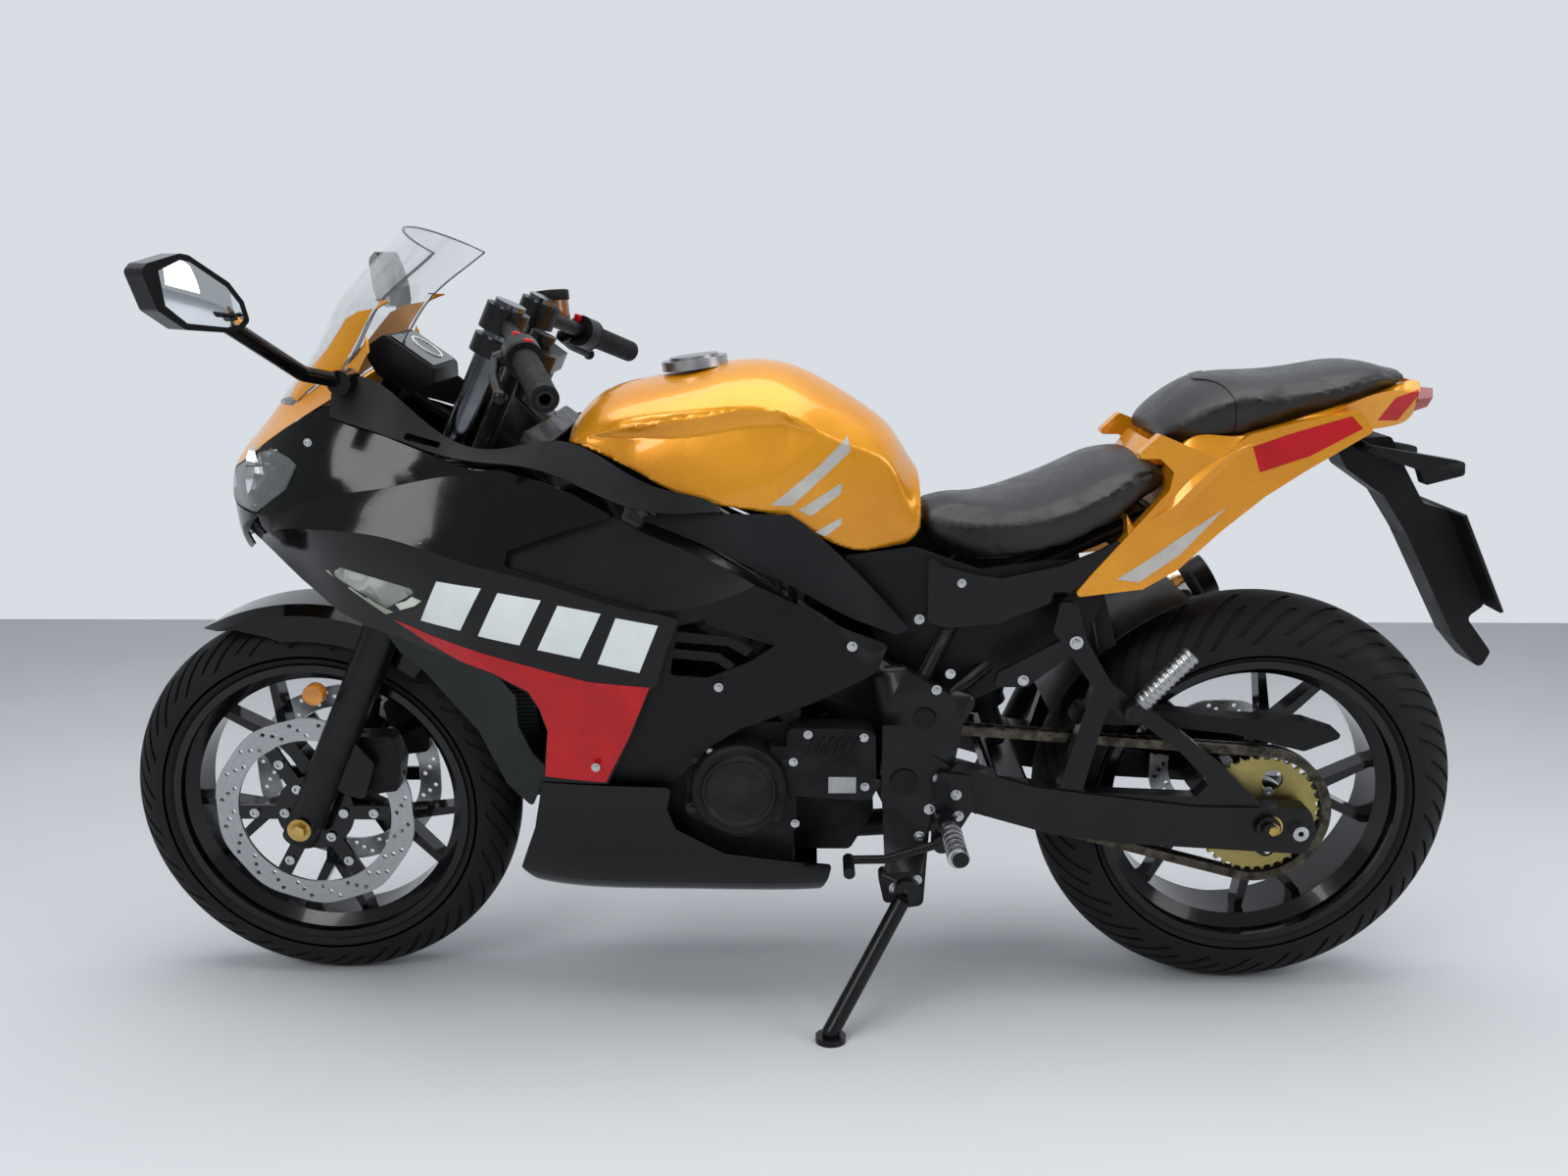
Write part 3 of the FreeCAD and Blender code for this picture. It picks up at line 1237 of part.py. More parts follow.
def front_fender():
    """A close mudguard over the tyre, held to the fork legs by its skirts."""
    profile_out = [(fender_inner_radius - fender_skirt_depth, -fender_half_width), (fender_inner_radius - 8, -fender_half_width + 2),
                   (fender_inner_radius + fender_wall, -fender_half_width + 24), (fender_inner_radius + fender_wall, fender_half_width - 24),
                   (fender_inner_radius - 8, fender_half_width - 2), (fender_inner_radius - fender_skirt_depth, fender_half_width),
                   (fender_inner_radius - fender_skirt_depth, fender_half_width - fender_wall), (fender_inner_radius - 12, fender_half_width - fender_wall - 2),
                   (fender_inner_radius, fender_half_width - 28), (fender_inner_radius, -fender_half_width + 28),
                   (fender_inner_radius - 12, -fender_half_width + fender_wall + 2), (fender_inner_radius - fender_skirt_depth, -fender_half_width + fender_wall)]
    points = [vec(front_x, y, front_z + r) for r, y in profile_out]
    face = Part.Face(Part.makePolygon(points + points[:1]))
    start_angle, sweep = -28, 66
    face.rotate(vec(front_x, 0, front_z), side_axis, start_angle)
    guard = face.revolve(vec(front_x, 0, front_z), side_axis, sweep)
    below_nose = side_plate([(-880, 566), (-781, 572), (-734, 562), (-712, 553), (-712, 470), (-880, 470)],
                            -2 * fender_half_width, 2 * fender_half_width)
    guard = guard.cut(below_nose)
    tabs = []
    for side in (1, -1):
        tab = rod(vec(-566, side * (fender_half_width - 3), 556), vec(-566, side * (fork_half_spacing - slider_radius + 1), 556), 9)
        tabs.append(tab)
    legs = [rod(on_fork(-slider_foot, y), on_fork(slider_length, y), slider_radius) for y in (-fork_half_spacing, fork_half_spacing)]
    return fused([guard] + tabs).cut(Part.Compound(legs))


def front_calipers():
    body = side_plate([(-622, 420), (-560, 420), (-548, 380), (-556, 336), (-598, 330), (-612, 356)], 57, 92, 8)
    slot = Part.makeCylinder(front_disc_radius + 5, disc_thickness + 3, vec(front_x, front_disc_offset - disc_thickness / 2 - 1.5, front_z), side_axis)
    leg = rod(on_fork(-slider_foot, fork_half_spacing), on_fork(slider_length, fork_half_spacing), slider_radius)
    mount = side_plate([(-640, 400), (-606, 420), (-580, 386), (-600, 330), (-636, 344)], fork_half_spacing - 9, fork_half_spacing + 9, 8)
    return both_sides(mirrored(body.cut(slot).cut(leg).cut(mount)))


# Stand
def upright_point(x, y, z):
    """A point of the leaned world taken back to the upright bike frame."""
    return vec(x, y * math.cos(lean) + z * math.sin(lean), -y * math.sin(lean) + z * math.cos(lean))


def side_stand():
    """The leg with its clevis and a round foot that lies flat on the floor."""
    pivot = vec(stand_pivot_x, stand_pivot_y, stand_pivot_z)
    foot = upright_point(stand_foot_x, stand_foot_floor_y, 0)
    up = upright_point(0, 0, 1)
    pad = Part.makeCylinder(stand_foot_radius, stand_foot_thickness, foot, up)
    ankle = foot + up * (stand_foot_thickness + 4)
    hip = vec(stand_pivot_x, -(stand_bracket_inner + stand_bracket_outer) / 2, stand_pivot_z)
    leg = rod(hip + (ankle - hip).normalize() * 16, ankle, stand_leg_radius)
    boss = Part.makeCylinder(19, stand_bracket_outer - stand_bracket_inner - 1, vec(hip.x, -stand_bracket_outer, hip.z), side_axis)
    tang = rod(foot + up * 24, foot + up * 24 + vec(-34, -14, 4), 5)
    bore = Part.makeCylinder(7 + axle_gap, 60, vec(hip.x, hip.y - 30, hip.z), side_axis)
    whole = fused([pad, leg, boss, Part.makeSphere(stand_leg_radius, ankle)]).cut(bore)
    floor_block = Part.makeBox(400, 400, 60, vec(stand_foot_x - 200, stand_foot_floor_y - 200, -60))
    floor_block.rotate(origin, vec(1, 0, 0), -lean_angle)
    return whole.cut(floor_block)


makers = {
    "front_tyre": front_tyre, "front_rim": front_rim, "front_discs": front_discs, "rear_tyre": rear_tyre,
    "rear_rim": rear_rim, "rear_disc": rear_disc, "rear_sprocket": rear_sprocket, "drive_chain": chain,
    "frame": frame, "engine": engine, "radiator": radiator, "exhaust": exhaust, "swingarm": swingarm,
    "stand_spools": stand_spools, "rear_shock": rear_shock, "chain_guard": chain_guard, "rear_caliper": rear_caliper, "fuel_tank": fuel_tank,
    "fuel_cap": fuel_cap, "rider_seat": rider_seat, "pillion_seat": pillion_seat, "tail_cowl": tail_cowl,
    "side_fairings": side_fairings, "under_fairings": under_fairings, "inner_fairings": inner_fairings,
    "belly_pan": belly_pan, "dash_panels": dash_panels, "knee_panels": knee_panels,
    "side_covers": side_covers, "nose_cowl": nose_cowl, "headlights": headlights, "windscreen": windscreen,
    "gauge": gauge, "mirrors": mirrors, "turn_signals": turn_signals, "taillight": taillight,
    "rear_mudguard": rear_mudguard, "number_plate": number_plate, "rider_footrests": rider_footrests,
    "pillion_footrests": pillion_footrests, "fork_yokes": fork_yokes, "fork_stanchions": fork_stanchions,
    "fork_sliders": fork_sliders, "handlebars": handlebars, "grips": grips, "controls": controls,
    "front_fender": front_fender, "front_calipers": front_calipers, "side_stand": side_stand,
}

# Pieces that give way to others where they meet, with the ones that keep their place
yields = {
    "fuel_tank": ["fuel_cap"],
    "tail_cowl": ["pillion_seat", "rider_seat", "frame"],
    "knee_panels": ["frame"],
    "side_covers": ["tail_cowl"],
}


def trimmed(shapes):
    for name, others in yields.items():
        for other in others:
            shapes[name] = shapes[name].cut(shapes[other])
    return shapes


def place(shape):
    """Lean a piece of the upright bike over to its left, as it parks."""
    leaned = shape.copy()
    leaned.rotate(origin, vec(1, 0, 0), lean_angle)
    return leaned


def middle_shift(shapes):
    """The move that puts the middle of the bike's floor rectangle at the origin. The floor is already at height 0."""
    fineness = 0.2
    points = [point for shape in shapes for point in shape.tessellate(fineness)[0]]
    xs = [point.x for point in points]
    ys = [point.y for point in points]
    return vec(-(min(xs) + max(xs)) / 2, -(min(ys) + max(ys)) / 2, 0)


def main():
    shapes = trimmed({name: made_once(make) for name, make in makers.items()})
    os.makedirs("parts", exist_ok=True)
    leaned = {name: place(shape) for name, shape in shapes.items()}
    shift = middle_shift(leaned.values())
    for name, shape in leaned.items():
        shape.translate(shift)
        shape.exportStep("parts/" + name + ".step")


if __name__ == "__main__":
    main()
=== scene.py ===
import bpy
import math
from mathutils import Matrix, Vector


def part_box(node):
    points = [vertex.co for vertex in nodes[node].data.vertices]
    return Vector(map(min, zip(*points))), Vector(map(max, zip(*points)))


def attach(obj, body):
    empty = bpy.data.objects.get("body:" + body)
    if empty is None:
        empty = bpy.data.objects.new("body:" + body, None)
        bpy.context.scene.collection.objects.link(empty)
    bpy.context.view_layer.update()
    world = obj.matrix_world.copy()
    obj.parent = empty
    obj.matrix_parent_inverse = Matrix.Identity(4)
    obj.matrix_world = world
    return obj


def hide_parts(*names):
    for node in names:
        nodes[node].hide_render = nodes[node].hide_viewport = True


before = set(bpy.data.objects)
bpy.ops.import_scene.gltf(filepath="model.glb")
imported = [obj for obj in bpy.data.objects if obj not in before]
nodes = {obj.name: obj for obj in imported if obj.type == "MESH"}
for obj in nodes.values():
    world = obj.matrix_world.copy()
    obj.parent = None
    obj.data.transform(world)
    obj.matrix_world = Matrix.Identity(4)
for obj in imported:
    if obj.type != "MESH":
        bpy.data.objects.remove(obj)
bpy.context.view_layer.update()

# The bike is modelled upright, axles 1.38 m apart, and everything is leaned onto its stand at the end
bike = {"lean": 9.5, "frontAxle": (-0.690, 0.0, 0.292765), "rearAxle": (0.690, 0.0, 0.309043)}
leanTurn = Matrix.Rotation(math.radians(bike["lean"]), 4, "X")
tyreLow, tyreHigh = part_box("front_tyre")
tyreMiddle = (Vector(tyreLow) + Vector(tyreHigh)) / 2
rowShift = tyreMiddle - leanTurn @ Vector(bike["frontAxle"])
toRow = Matrix.Translation(rowShift) @ leanTurn
toBike = toRow.inverted()
mirrorY = Matrix.Diagonal((1, -1, 1, 1))


def mm(*values):  # millimetres of the upright bike to metres
    return Vector([v / 1000 for v in values])


def deselect():
    bpy.ops.object.select_all(action="DESELECT")


def activate(*objs):
    deselect()
    for obj in objs:
        obj.select_set(True)
    bpy.context.view_layer.objects.active = objs[0]


def join(objs):
    activate(*objs)
    if len(objs) > 1:
        bpy.ops.object.join()
    return bpy.context.object


def addModifier(obj, kind, **settings):
    mod = obj.modifiers.new(kind.lower(), kind)
    for key, value in settings.items():
        setattr(mod, key, value)
    return mod


def applyAll(obj):
    activate(obj)
    bpy.ops.object.transform_apply(location=True, rotation=True, scale=True)
    for mod in list(obj.modifiers):
        bpy.ops.object.modifier_apply(modifier=mod.name)


def softenEdges(obj, width):
    addModifier(obj, "BEVEL", width=width, segments=2, limit_method="ANGLE")
    applyAll(obj)


def duplicate(source, change=None):
    obj = source.copy()
    obj.data = source.data.copy()
    bpy.context.collection.objects.link(obj)
    if change:
        obj.data.transform(change)
    return obj


def editAll():
    bpy.ops.object.mode_set(mode="EDIT")
    bpy.ops.mesh.select_all(action="SELECT")


def editNone(kind):  # edit mode with nothing selected, by VERT, EDGE or FACE
    bpy.ops.object.mode_set(mode="EDIT")
    bpy.ops.mesh.select_mode(type=kind)
    bpy.ops.mesh.select_all(action="DESELECT")


def leaveEdit():
    bpy.ops.object.mode_set(mode="OBJECT")


def outwardNormals(obj):
    activate(obj)
    editAll()
    bpy.ops.mesh.remove_doubles(threshold=0.00001)
    bpy.ops.mesh.normals_make_consistent(inside=False)
    leaveEdit()


def alongAxis(direction):
    return Vector(direction).to_track_quat("Z", "Y").to_euler()


def rodPiece(start, end, radius, sides=24, bevel=0.0):  # a turned rod with softened ends
    start, end = Vector(start), Vector(end)
    deselect()
    bpy.ops.mesh.primitive_cone_add(vertices=sides, radius1=radius, radius2=radius, depth=(end - start).length,
                                    location=(start + end) / 2, rotation=alongAxis(end - start))
    obj = bpy.context.object
    if bevel:
        softenEdges(obj, bevel)
    applyAll(obj)
    return obj


def flatOutline(points, plane="side", at=0.0):  # a face through an outline: side is x and z, front is y and z
    deselect()
    bpy.ops.mesh.primitive_circle_add(vertices=len(points), radius=0.1, fill_type="NGON")
    obj = bpy.context.object
    for vertex, (a, b) in zip(obj.data.vertices, points):
        vertex.co = (a / 1000, at / 1000, b / 1000) if plane == "side" else (at / 1000, a / 1000, b / 1000)
    return obj


def platePiece(points, low, high, plane="side", bevel=0.0):
    obj = flatOutline(points, plane, low)
    activate(obj)
    editAll()
    step = (0, (high - low) / 1000, 0) if plane == "side" else ((high - low) / 1000, 0, 0)
    bpy.ops.mesh.extrude_region_move(TRANSFORM_OT_translate={"value": step})
    leaveEdit()
    outwardNormals(obj)
    if bevel:
        softenEdges(obj, bevel / 1000)
    return obj


def ringPiece(profile, centre, axis=(0, 1, 0), steps=64):  # a profile of (radius, along) in mm spun round an axis
    deselect()
    bpy.ops.mesh.primitive_circle_add(vertices=len(profile), radius=0.1, fill_type="NOTHING")
    obj = bpy.context.object
    for vertex, (r, t) in zip(obj.data.vertices, profile):
        vertex.co = (r / 1000, 0, t / 1000)
    editAll()
    bpy.ops.mesh.spin(steps=steps, angle=2 * math.pi, center=(0, 0, 0), axis=(0, 0, 1))
    leaveEdit()
    outwardNormals(obj)
    obj.location = centre
    obj.rotation_euler = alongAxis(axis)
    applyAll(obj)
    return obj


def twin(obj):  # the same piece on the other side of the bike
    other = duplicate(obj, mirrorY)
    other.data.flip_normals()
    return other


def bothSides(parts):
    piece = join(parts)
    return join([piece, twin(piece)])


def finishPiece(obj, name, material, body="chassis", smooth=35, leaned=True, replaces=()):
    obj.name = obj.data.name = name
    activate(obj)
    if leaned:
        obj.data.transform(toRow)
    obj.data.materials.clear()
    obj.data.materials.append(material)
    bpy.ops.object.shade_smooth_by_angle(angle=math.radians(smooth))
    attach(obj, body)
    if replaces:
        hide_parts(*replaces)
    return obj


def nodeCopy(name, upright=False):  # a welded copy of a CAD node, in the row frame or the upright one
    deselect()
    obj = duplicate(nodes[name])
    obj.parent = None
    obj.hide_render = False
    obj.matrix_world = Matrix.Identity(4)
    activate(obj)
    editAll()
    bpy.ops.mesh.remove_doubles(threshold=0.00002)
    leaveEdit()
    if upright:
        obj.data.transform(toBike)
    return obj


def remesh(obj, voxelMm, rounds):  # even cells, softened
    outwardNormals(obj)
    addModifier(obj, "REMESH", mode="VOXEL", voxel_size=voxelMm / 1000)
    addModifier(obj, "SMOOTH", factor=0.5, iterations=rounds)
    applyAll(obj)


def toLinear(hexColour):  # sRGB hex to linear
    parts = [int(hexColour[i:i + 2], 16) / 255 for i in (1, 3, 5)]
    return [p / 12.92 if p <= 0.04045 else ((p + 0.055) / 1.055) ** 2.4 for p in parts] + [1.0]


def setInputs(mat, node, values):  # a socket is linked, a plain value is set
    for key, value in values.items():
        if isinstance(value, bpy.types.NodeSocket):
            mat.node_tree.links.new(value, node.inputs[key])
        else:
            node.inputs[key].default_value = value


def addNode(mat, kind, settings=None, inputs=None):
    node = mat.node_tree.nodes.new("ShaderNode" + kind)
    for key, value in (settings or {}).items():
        setattr(node, key, value)
    setInputs(mat, node, inputs or {})
    return node


def startMaterial(name, metallic, ior=None):
    mat = bpy.data.materials.new(name)
    mat.use_nodes = True
    shader = mat.node_tree.nodes["Principled BSDF"]
    setInputs(mat, shader, {"Metallic": metallic, "IOR": ior} if ior else {"Metallic": metallic})
    return mat, shader, addNode(mat, "TexCoord").outputs["Object"]


def ramp(mat, value, low, high, start=0.35, end=0.65):
    ends = {"Value": value, "From Min": start, "From Max": end, "To Min": low, "To Max": high}
    return addNode(mat, "MapRange", inputs=ends).outputs["Result"]


def noise(mat, place, scale, detail, **more):
    return addNode(mat, "TexNoise", inputs={"Vector": place, "Scale": scale, "Detail": detail, **more}).outputs["Fac"]


def voronoi(mat, place, scale, settings=None, **more):
    node = addNode(mat, "TexVoronoi", settings, {"Vector": place, "Scale": scale, **more})
    return node.outputs["Distance"]


def maths(mat, operation, *values):
    return addNode(mat, "Math", {"operation": operation}, dict(enumerate(values))).outputs[0]


def tones(mat, factor, light, dark):
    colours = {"Factor": factor, 6: toLinear(dark), 7: toLinear(light)}
    return addNode(mat, "Mix", {"data_type": "RGBA"}, colours).outputs[2]


def relief(mat, height, strength, distance):
    ends = {"Height": height, "Strength": strength, "Distance": distance}
    return addNode(mat, "Bump", inputs=ends).outputs["Normal"]


def finish(name, light, dark, rough, metallic=0.0, coat=0.0, grainMm=0.6, grain=0.05, patchMm=60):
    # A general finish: colour drifts in large patches, roughness in smudges, and a fine surface grain
    mat, shader, place = startMaterial(name, metallic)
    patch = noise(mat, place, 1000 / patchMm, 5.0, Roughness=0.6)
    smudge = noise(mat, place, 2600 / patchMm, 6.0, Distortion=0.6)
    setInputs(mat, shader, {
        "Base Color": tones(mat, ramp(mat, patch, 0, 1), light, dark),
        "Roughness": ramp(mat, smudge, rough * 0.85, min(1, rough * 1.2)),
        "Normal": relief(mat, noise(mat, place, 1000 / grainMm, 2.0), grain, grainMm / 1000),
        "Coat Weight": coat, "Coat Roughness": 0.04, "Specular IOR Level": 0.22})
    return mat


def flakePaint(name, deep, bright, flakeMm=1.2):
    # Two-stage metallic lacquer: aluminium flakes under a clear coat, drawn large so that they show
    mat, shader, place = startMaterial(name, 0.35)
    flake = voronoi(mat, place, 1000 / flakeMm)
    glow = maths(mat, "MULTIPLY_ADD", flake, 0.6, noise(mat, place, 6.0, 3.0))
    setInputs(mat, shader, {
        "Base Color": tones(mat, ramp(mat, glow, 0, 1, 0.5, 1.1), bright, deep), "Roughness": 0.28,
        "Normal": relief(mat, flake, 0.04, 0.0004),
        "Specular IOR Level": 0.35, "Coat Weight": 0.55, "Coat Roughness": 0.04})
    return mat


def pebblePlastic(name, light, dark, cellMm, rough=0.5, depth=0.35):
    # Moulded plastic with an etched pebble texture
    mat, shader, place = startMaterial(name, 0.0, 1.5)
    cell = voronoi(mat, place, 1000 / cellMm, {"feature": "SMOOTH_F1"}, Smoothness=0.6)
    patch = noise(mat, place, 14.0, 5.0)
    setInputs(mat, shader, {
        "Base Color": tones(mat, ramp(mat, patch, 0, 1), light, dark),
        "Roughness": ramp(mat, patch, rough * 0.85, rough * 1.15),
        "Normal": relief(mat, cell, depth, cellMm / 3000), "Specular IOR Level": 0.2})
    return mat


def turnedMetal(name, light, dark, centre, rough=0.3, ringMm=0.9):
    # Ground steel: fine rings round the wheel's axle
    mat, shader, place = startMaterial(name, 1.0)
    moved = addNode(mat, "Mapping", inputs={"Vector": place, "Location": -(toRow @ Vector(centre))})
    upright = (-math.radians(bike["lean"]), 0, 0)
    turned = addNode(mat, "Mapping", inputs={"Vector": moved.outputs[0], "Rotation": upright})
    split = addNode(mat, "SeparateXYZ", inputs={0: turned.outputs[0]})
    flat = addNode(mat, "CombineXYZ", inputs={0: split.outputs["X"], 2: split.outputs["Z"]})
    radius = addNode(mat, "VectorMath", {"operation": "LENGTH"}, {0: flat.outputs[0]})
    count = maths(mat, "MULTIPLY", radius.outputs["Value"], 1000 / ringMm)
    rings = addNode(mat, "TexNoise", {"noise_dimensions": "1D"}, {"W": count, "Scale": 1.0, "Detail": 2.0})
    setInputs(mat, shader, {
        "Base Color": tones(mat, ramp(mat, rings.outputs["Fac"], 0, 1), light, dark),
        "Roughness": ramp(mat, noise(mat, place, 24.0, 4.0), rough * 0.8, rough * 1.3),
        "Normal": relief(mat, rings.outputs["Fac"], 0.15, 0.0003)})
    return mat


def clearPlastic(name, tint, rough=0.02, alpha=0.25):
    # Polycarbonate: a thin tinted sheet, clear but with bright reflections
    mat, shader, place = startMaterial(name, 0.0, 1.49)
    setInputs(mat, shader, {
        "Base Color": toLinear(tint), "Roughness": ramp(mat, noise(mat, place, 30.0, 4.0), rough, rough * 2.5),
        "Transmission Weight": 0.6, "Alpha": alpha, "Coat Weight": 0.6})
    return mat


def vinyl(name, light, dark, cellMm=1.8):
    # Seat vinyl with a leather grain and soft creases; the colour darkens into the creases, a painted shade
    mat, shader, place = startMaterial(name, 0.0, 1.48)
    cell = voronoi(mat, place, 1000 / cellMm, {"feature": "DISTANCE_TO_EDGE"})
    crease = noise(mat, place, 30.0, 6.0, Distortion=1.2)
    tall = maths(mat, "MULTIPLY_ADD", ramp(mat, cell, 0, 1, 0.0, 0.25), 0.6, crease)
    setInputs(mat, shader, {
        "Base Color": tones(mat, ramp(mat, crease, 0, 1), light, dark), "Roughness": ramp(mat, crease, 0.26, 0.38),
        "Normal": relief(mat, tall, 0.35, 0.0006), "Specular IOR Level": 0.5})
    return mat


def tyreRubber(name, light, dark):
    # Moulded rubber, greyer where dust lies
    mat, shader, place = startMaterial(name, 0.0, 1.52)
    dust = noise(mat, place, 9.0, 8.0, Roughness=0.7)
    setInputs(mat, shader, {
        "Base Color": tones(mat, ramp(mat, dust, 0, 1, 0.4, 0.7), light, dark), "Roughness": ramp(mat, dust, 0.55,
            0.78),
        "Normal": relief(mat, noise(mat, place, 900.0, 2.0), 0.25, 0.0008), "Specular IOR Level": 0.2})
    return mat


def finnedCore(name, light, dark, finMm=3, tubeMm=11):
    # Radiator matrix: folded fins between flat tubes, with painted shade: the colour goes near black in the gaps
    # between them
    mat, shader, place = startMaterial(name, 0.8)
    scales = [1000 / pitch / 6.283 for pitch in (finMm, tubeMm)]
    fins = addNode(mat, "TexWave", {"bands_direction": "Z"}, {"Vector": place, "Scale": scales[0], "Distortion": 0.2})
    tubes = addNode(mat, "TexWave", {"bands_direction": "Y"}, {"Vector": place, "Scale": scales[1]})
    mixed = maths(mat, "MULTIPLY", fins.outputs["Fac"], tubes.outputs["Fac"])
    setInputs(mat, shader, {"Base Color": tones(mat, mixed, light, dark), "Roughness": 0.5,
                            "Normal": relief(mat, mixed, 0.6, 0.002)})
    return mat


def flutedMould(name, light, dark, pitchMm=5.0):
    # A metalled lens moulded with upright flutes, coloured lighter on their ridges and darker in their troughs: a
    # painted reflection
    mat, shader, place = startMaterial(name, 0.25)
    ends = {"Vector": place, "Scale": 50 / pitchMm, "Distortion": 0.4}
    flute = addNode(mat, "TexWave", {"bands_direction": "DIAGONAL"}, ends).outputs["Fac"]
    setInputs(mat, shader, {
        "Base Color": tones(mat, ramp(mat, flute, 0, 1, 0.1, 0.9), light, dark), "Roughness": 0.15,
        "Normal": relief(mat, flute, 0.5, 0.001), "Coat Weight": 0.6})
    return mat


# the light and dark tones of the fluted lens are a painted reflection along its flutes
flutedLens = flutedMould("flutedSignalLens", "#d3d6c4", "#8f937f")
amberPaint = flakePaint("amberMetallicLacquer", "#d08406", "#eea21a")
glossBlack = finish("glossBlackABS", "#09090b", "#060607", 0.1, coat=0.15, grainMm=2.5, grain=0.02, patchMm=90)
blackPebble = pebblePlastic("texturedBlackPolypropylene", "#141416", "#0d0d0f", 1.6)
greyMatte = pebblePlastic("matteBlackABS", "#1c1c1f", "#141417", 1.0, 0.5, 0.2)
innerGrey = pebblePlastic("matteInnerPanel", "#2a2e2d", "#1e2121", 1.2, 0.6, 0.2)
satinBlack = finish("satinBlackPaint", "#121214", "#0b0b0d", 0.35, coat=0.1, grainMm=1.2, grain=0.06)
wheelBlack = finish("glossBlackPowderCoat", "#0b0b0d", "#070708", 0.16, coat=0.3, grainMm=1.6, grain=0.05)
castDark = finish("darkCastAluminium", "#232325", "#151517", 0.45, metallic=0.5, grainMm=1.4, grain=0.3, patchMm=40)
coverDark = finish("blackCoatedCover", "#2b2a2a", "#1c1b1b", 0.32, metallic=0.5, grainMm=0.9, grain=0.12, patchMm=50)
castAlloy = finish("castAluminium", "#b5b6b8", "#9a9b9d", 0.32, metallic=1.0, grainMm=1.0, grain=0.15, patchMm=30)
chrome = finish("hardChrome", "#dfe1e3", "#cfd1d4", 0.08, metallic=1.0, grainMm=0.5, grain=0.01, patchMm=40)
forkTube = finish("darkChromedTube", "#6f7276", "#585b60", 0.16, metallic=1.0, grainMm=0.5, grain=0.01, patchMm=60)
zincBolt = finish("zincPlatedSteel", "#c9cacc", "#a9abad", 0.25, metallic=1.0, grainMm=0.5, grain=0.08, patchMm=12)
goldZinc = finish("goldZincSteel", "#cfb06a", "#a98f4c", 0.28, metallic=1.0, grainMm=0.5, grain=0.08, patchMm=16)
chainSteel = finish("oiledChainSteel", "#5c564c", "#2e2b26", 0.35, metallic=1.0, grainMm=0.6, grain=0.15, patchMm=14)
rubber = finish("mouldedRubber", "#141415", "#0d0d0e", 0.6, grainMm=1.1, grain=0.2, patchMm=30)
silencerBlack = finish("hotBlackCoating", "#131314", "#0b0b0c", 0.4, metallic=0.2, grainMm=1.0, grain=0.12)
screenClear = clearPlastic("clearPolycarbonate", "#e6ecee", alpha=0.2)
# the grey of the screen's edge is painted shade for how light bends at the cut edge
screenEdgeShade = clearPlastic("cutPolycarbonateEdgeShade", "#59636a", 0.2, alpha=0.8)
lensClear = clearPlastic("smokedLampLens", "#7d8583", alpha=0.5)
signalLens = clearPlastic("ribbedSignalLens", "#c2c8bd", 0.08, alpha=0.7)
redLens = clearPlastic("redLampLens", "#b30a10", 0.06, alpha=0.97)
amberLens = clearPlastic("amberReflector", "#f0a02c", 0.1, alpha=0.97)
fluidAmber = clearPlastic("amberBrakeFluidPot", "#c9780c", alpha=0.9)
mirrorGlass = finish("silveredMirror", "#e8ecef", "#dfe5ea", 0.02, metallic=1.0, grainMm=2, grain=0.0, patchMm=80)
chamberGrey = finish("smokedReflectorChamber", "#3a403f", "#1f2322", 0.3, metallic=0.5, grainMm=3.0, grain=0.1,
    patchMm=30)
redButton = finish("redMouldedNylon", "#c21420", "#a50d18", 0.35, grainMm=0.8, grain=0.05)
dialFace = finish("darkDialGlass", "#0a0c10", "#06070a", 0.05, coat=0.6, grainMm=2.0, grain=0.0)
# the darker seat tone is painted shade in the vinyl's creases
seatVinyl = vinyl("blackSeatVinyl", "#151517", "#0c0c0e")
tyreBlack = tyreRubber("tyreRubber", "#1e1d1d", "#121213")
# the dark tone of the radiator core is painted shade in the gaps between fins and tubes
radiatorCore = finnedCore("finnedRadiatorCore", "#4c4e50", "#101112")
plateWhite = finish("plainPlateEnamel", "#e9e9e4", "#dcdcd6", 0.35, coat=0.3, grainMm=1.0, grain=0.03)
redFilm = finish("redGlossFilm", "#c0141c", "#a60e15", 0.22, coat=0.2, grainMm=1.5, grain=0.02)
whiteFilm = finish("whiteGlossFilm", "#e6ebea", "#dbe2e1", 0.3, coat=0.2, grainMm=1.5, grain=0.02)
silverFilm = finish("silverGlossFilm", "#c9c6c0", "#b6b3ad", 0.3, metallic=0.3, coat=0.3, grainMm=1.2, grain=0.03)
discSteelFront = turnedMetal("groundDiscSteelFront", "#b9babc", "#8f9194", bike["frontAxle"])
discSteelRear = turnedMetal("groundDiscSteelRear", "#b9babc", "#8f9194", bike["rearAxle"])
sprocketGold = turnedMetal("anodisedSprocket", "#b3a468", "#8a7d4c", bike["rearAxle"], 0.38)

dressed = {
    satinBlack: "frame swingarm rider_footrests pillion_footrests fork_yokes fork_sliders handlebars controls "
                "side_stand",
    glossBlack: "side_fairings belly_pan side_covers mirrors front_fender",
    blackPebble: "chain_guard under_fairings gauge rear_mudguard number_plate",
    castDark: "engine rear_shock rear_caliper front_calipers", greyMatte: "dash_panels knee_panels",
    amberPaint: "fuel_tank tail_cowl nose_cowl", seatVinyl: "rider_seat pillion_seat",
    tyreBlack: "front_tyre rear_tyre", wheelBlack: "front_rim rear_rim", radiatorCore: "radiator",
    silencerBlack: "exhaust", zincBolt: "stand_spools", chainSteel: "drive_chain", castAlloy: "fuel_cap",
    innerGrey: "inner_fairings", lensClear: "headlights", screenClear: "windscreen", signalLens: "turn_signals",
    redLens: "taillight", forkTube: "fork_stanchions", rubber: "grips", discSteelFront: "front_discs",
    discSteelRear: "rear_disc", sprocketGold: "rear_sprocket",
}
for material, names in dressed.items():
    for nodeName in names.split():
        mesh = nodes[nodeName].data
        mesh.materials.clear()
        mesh.materials.append(material)
print("finishes done")


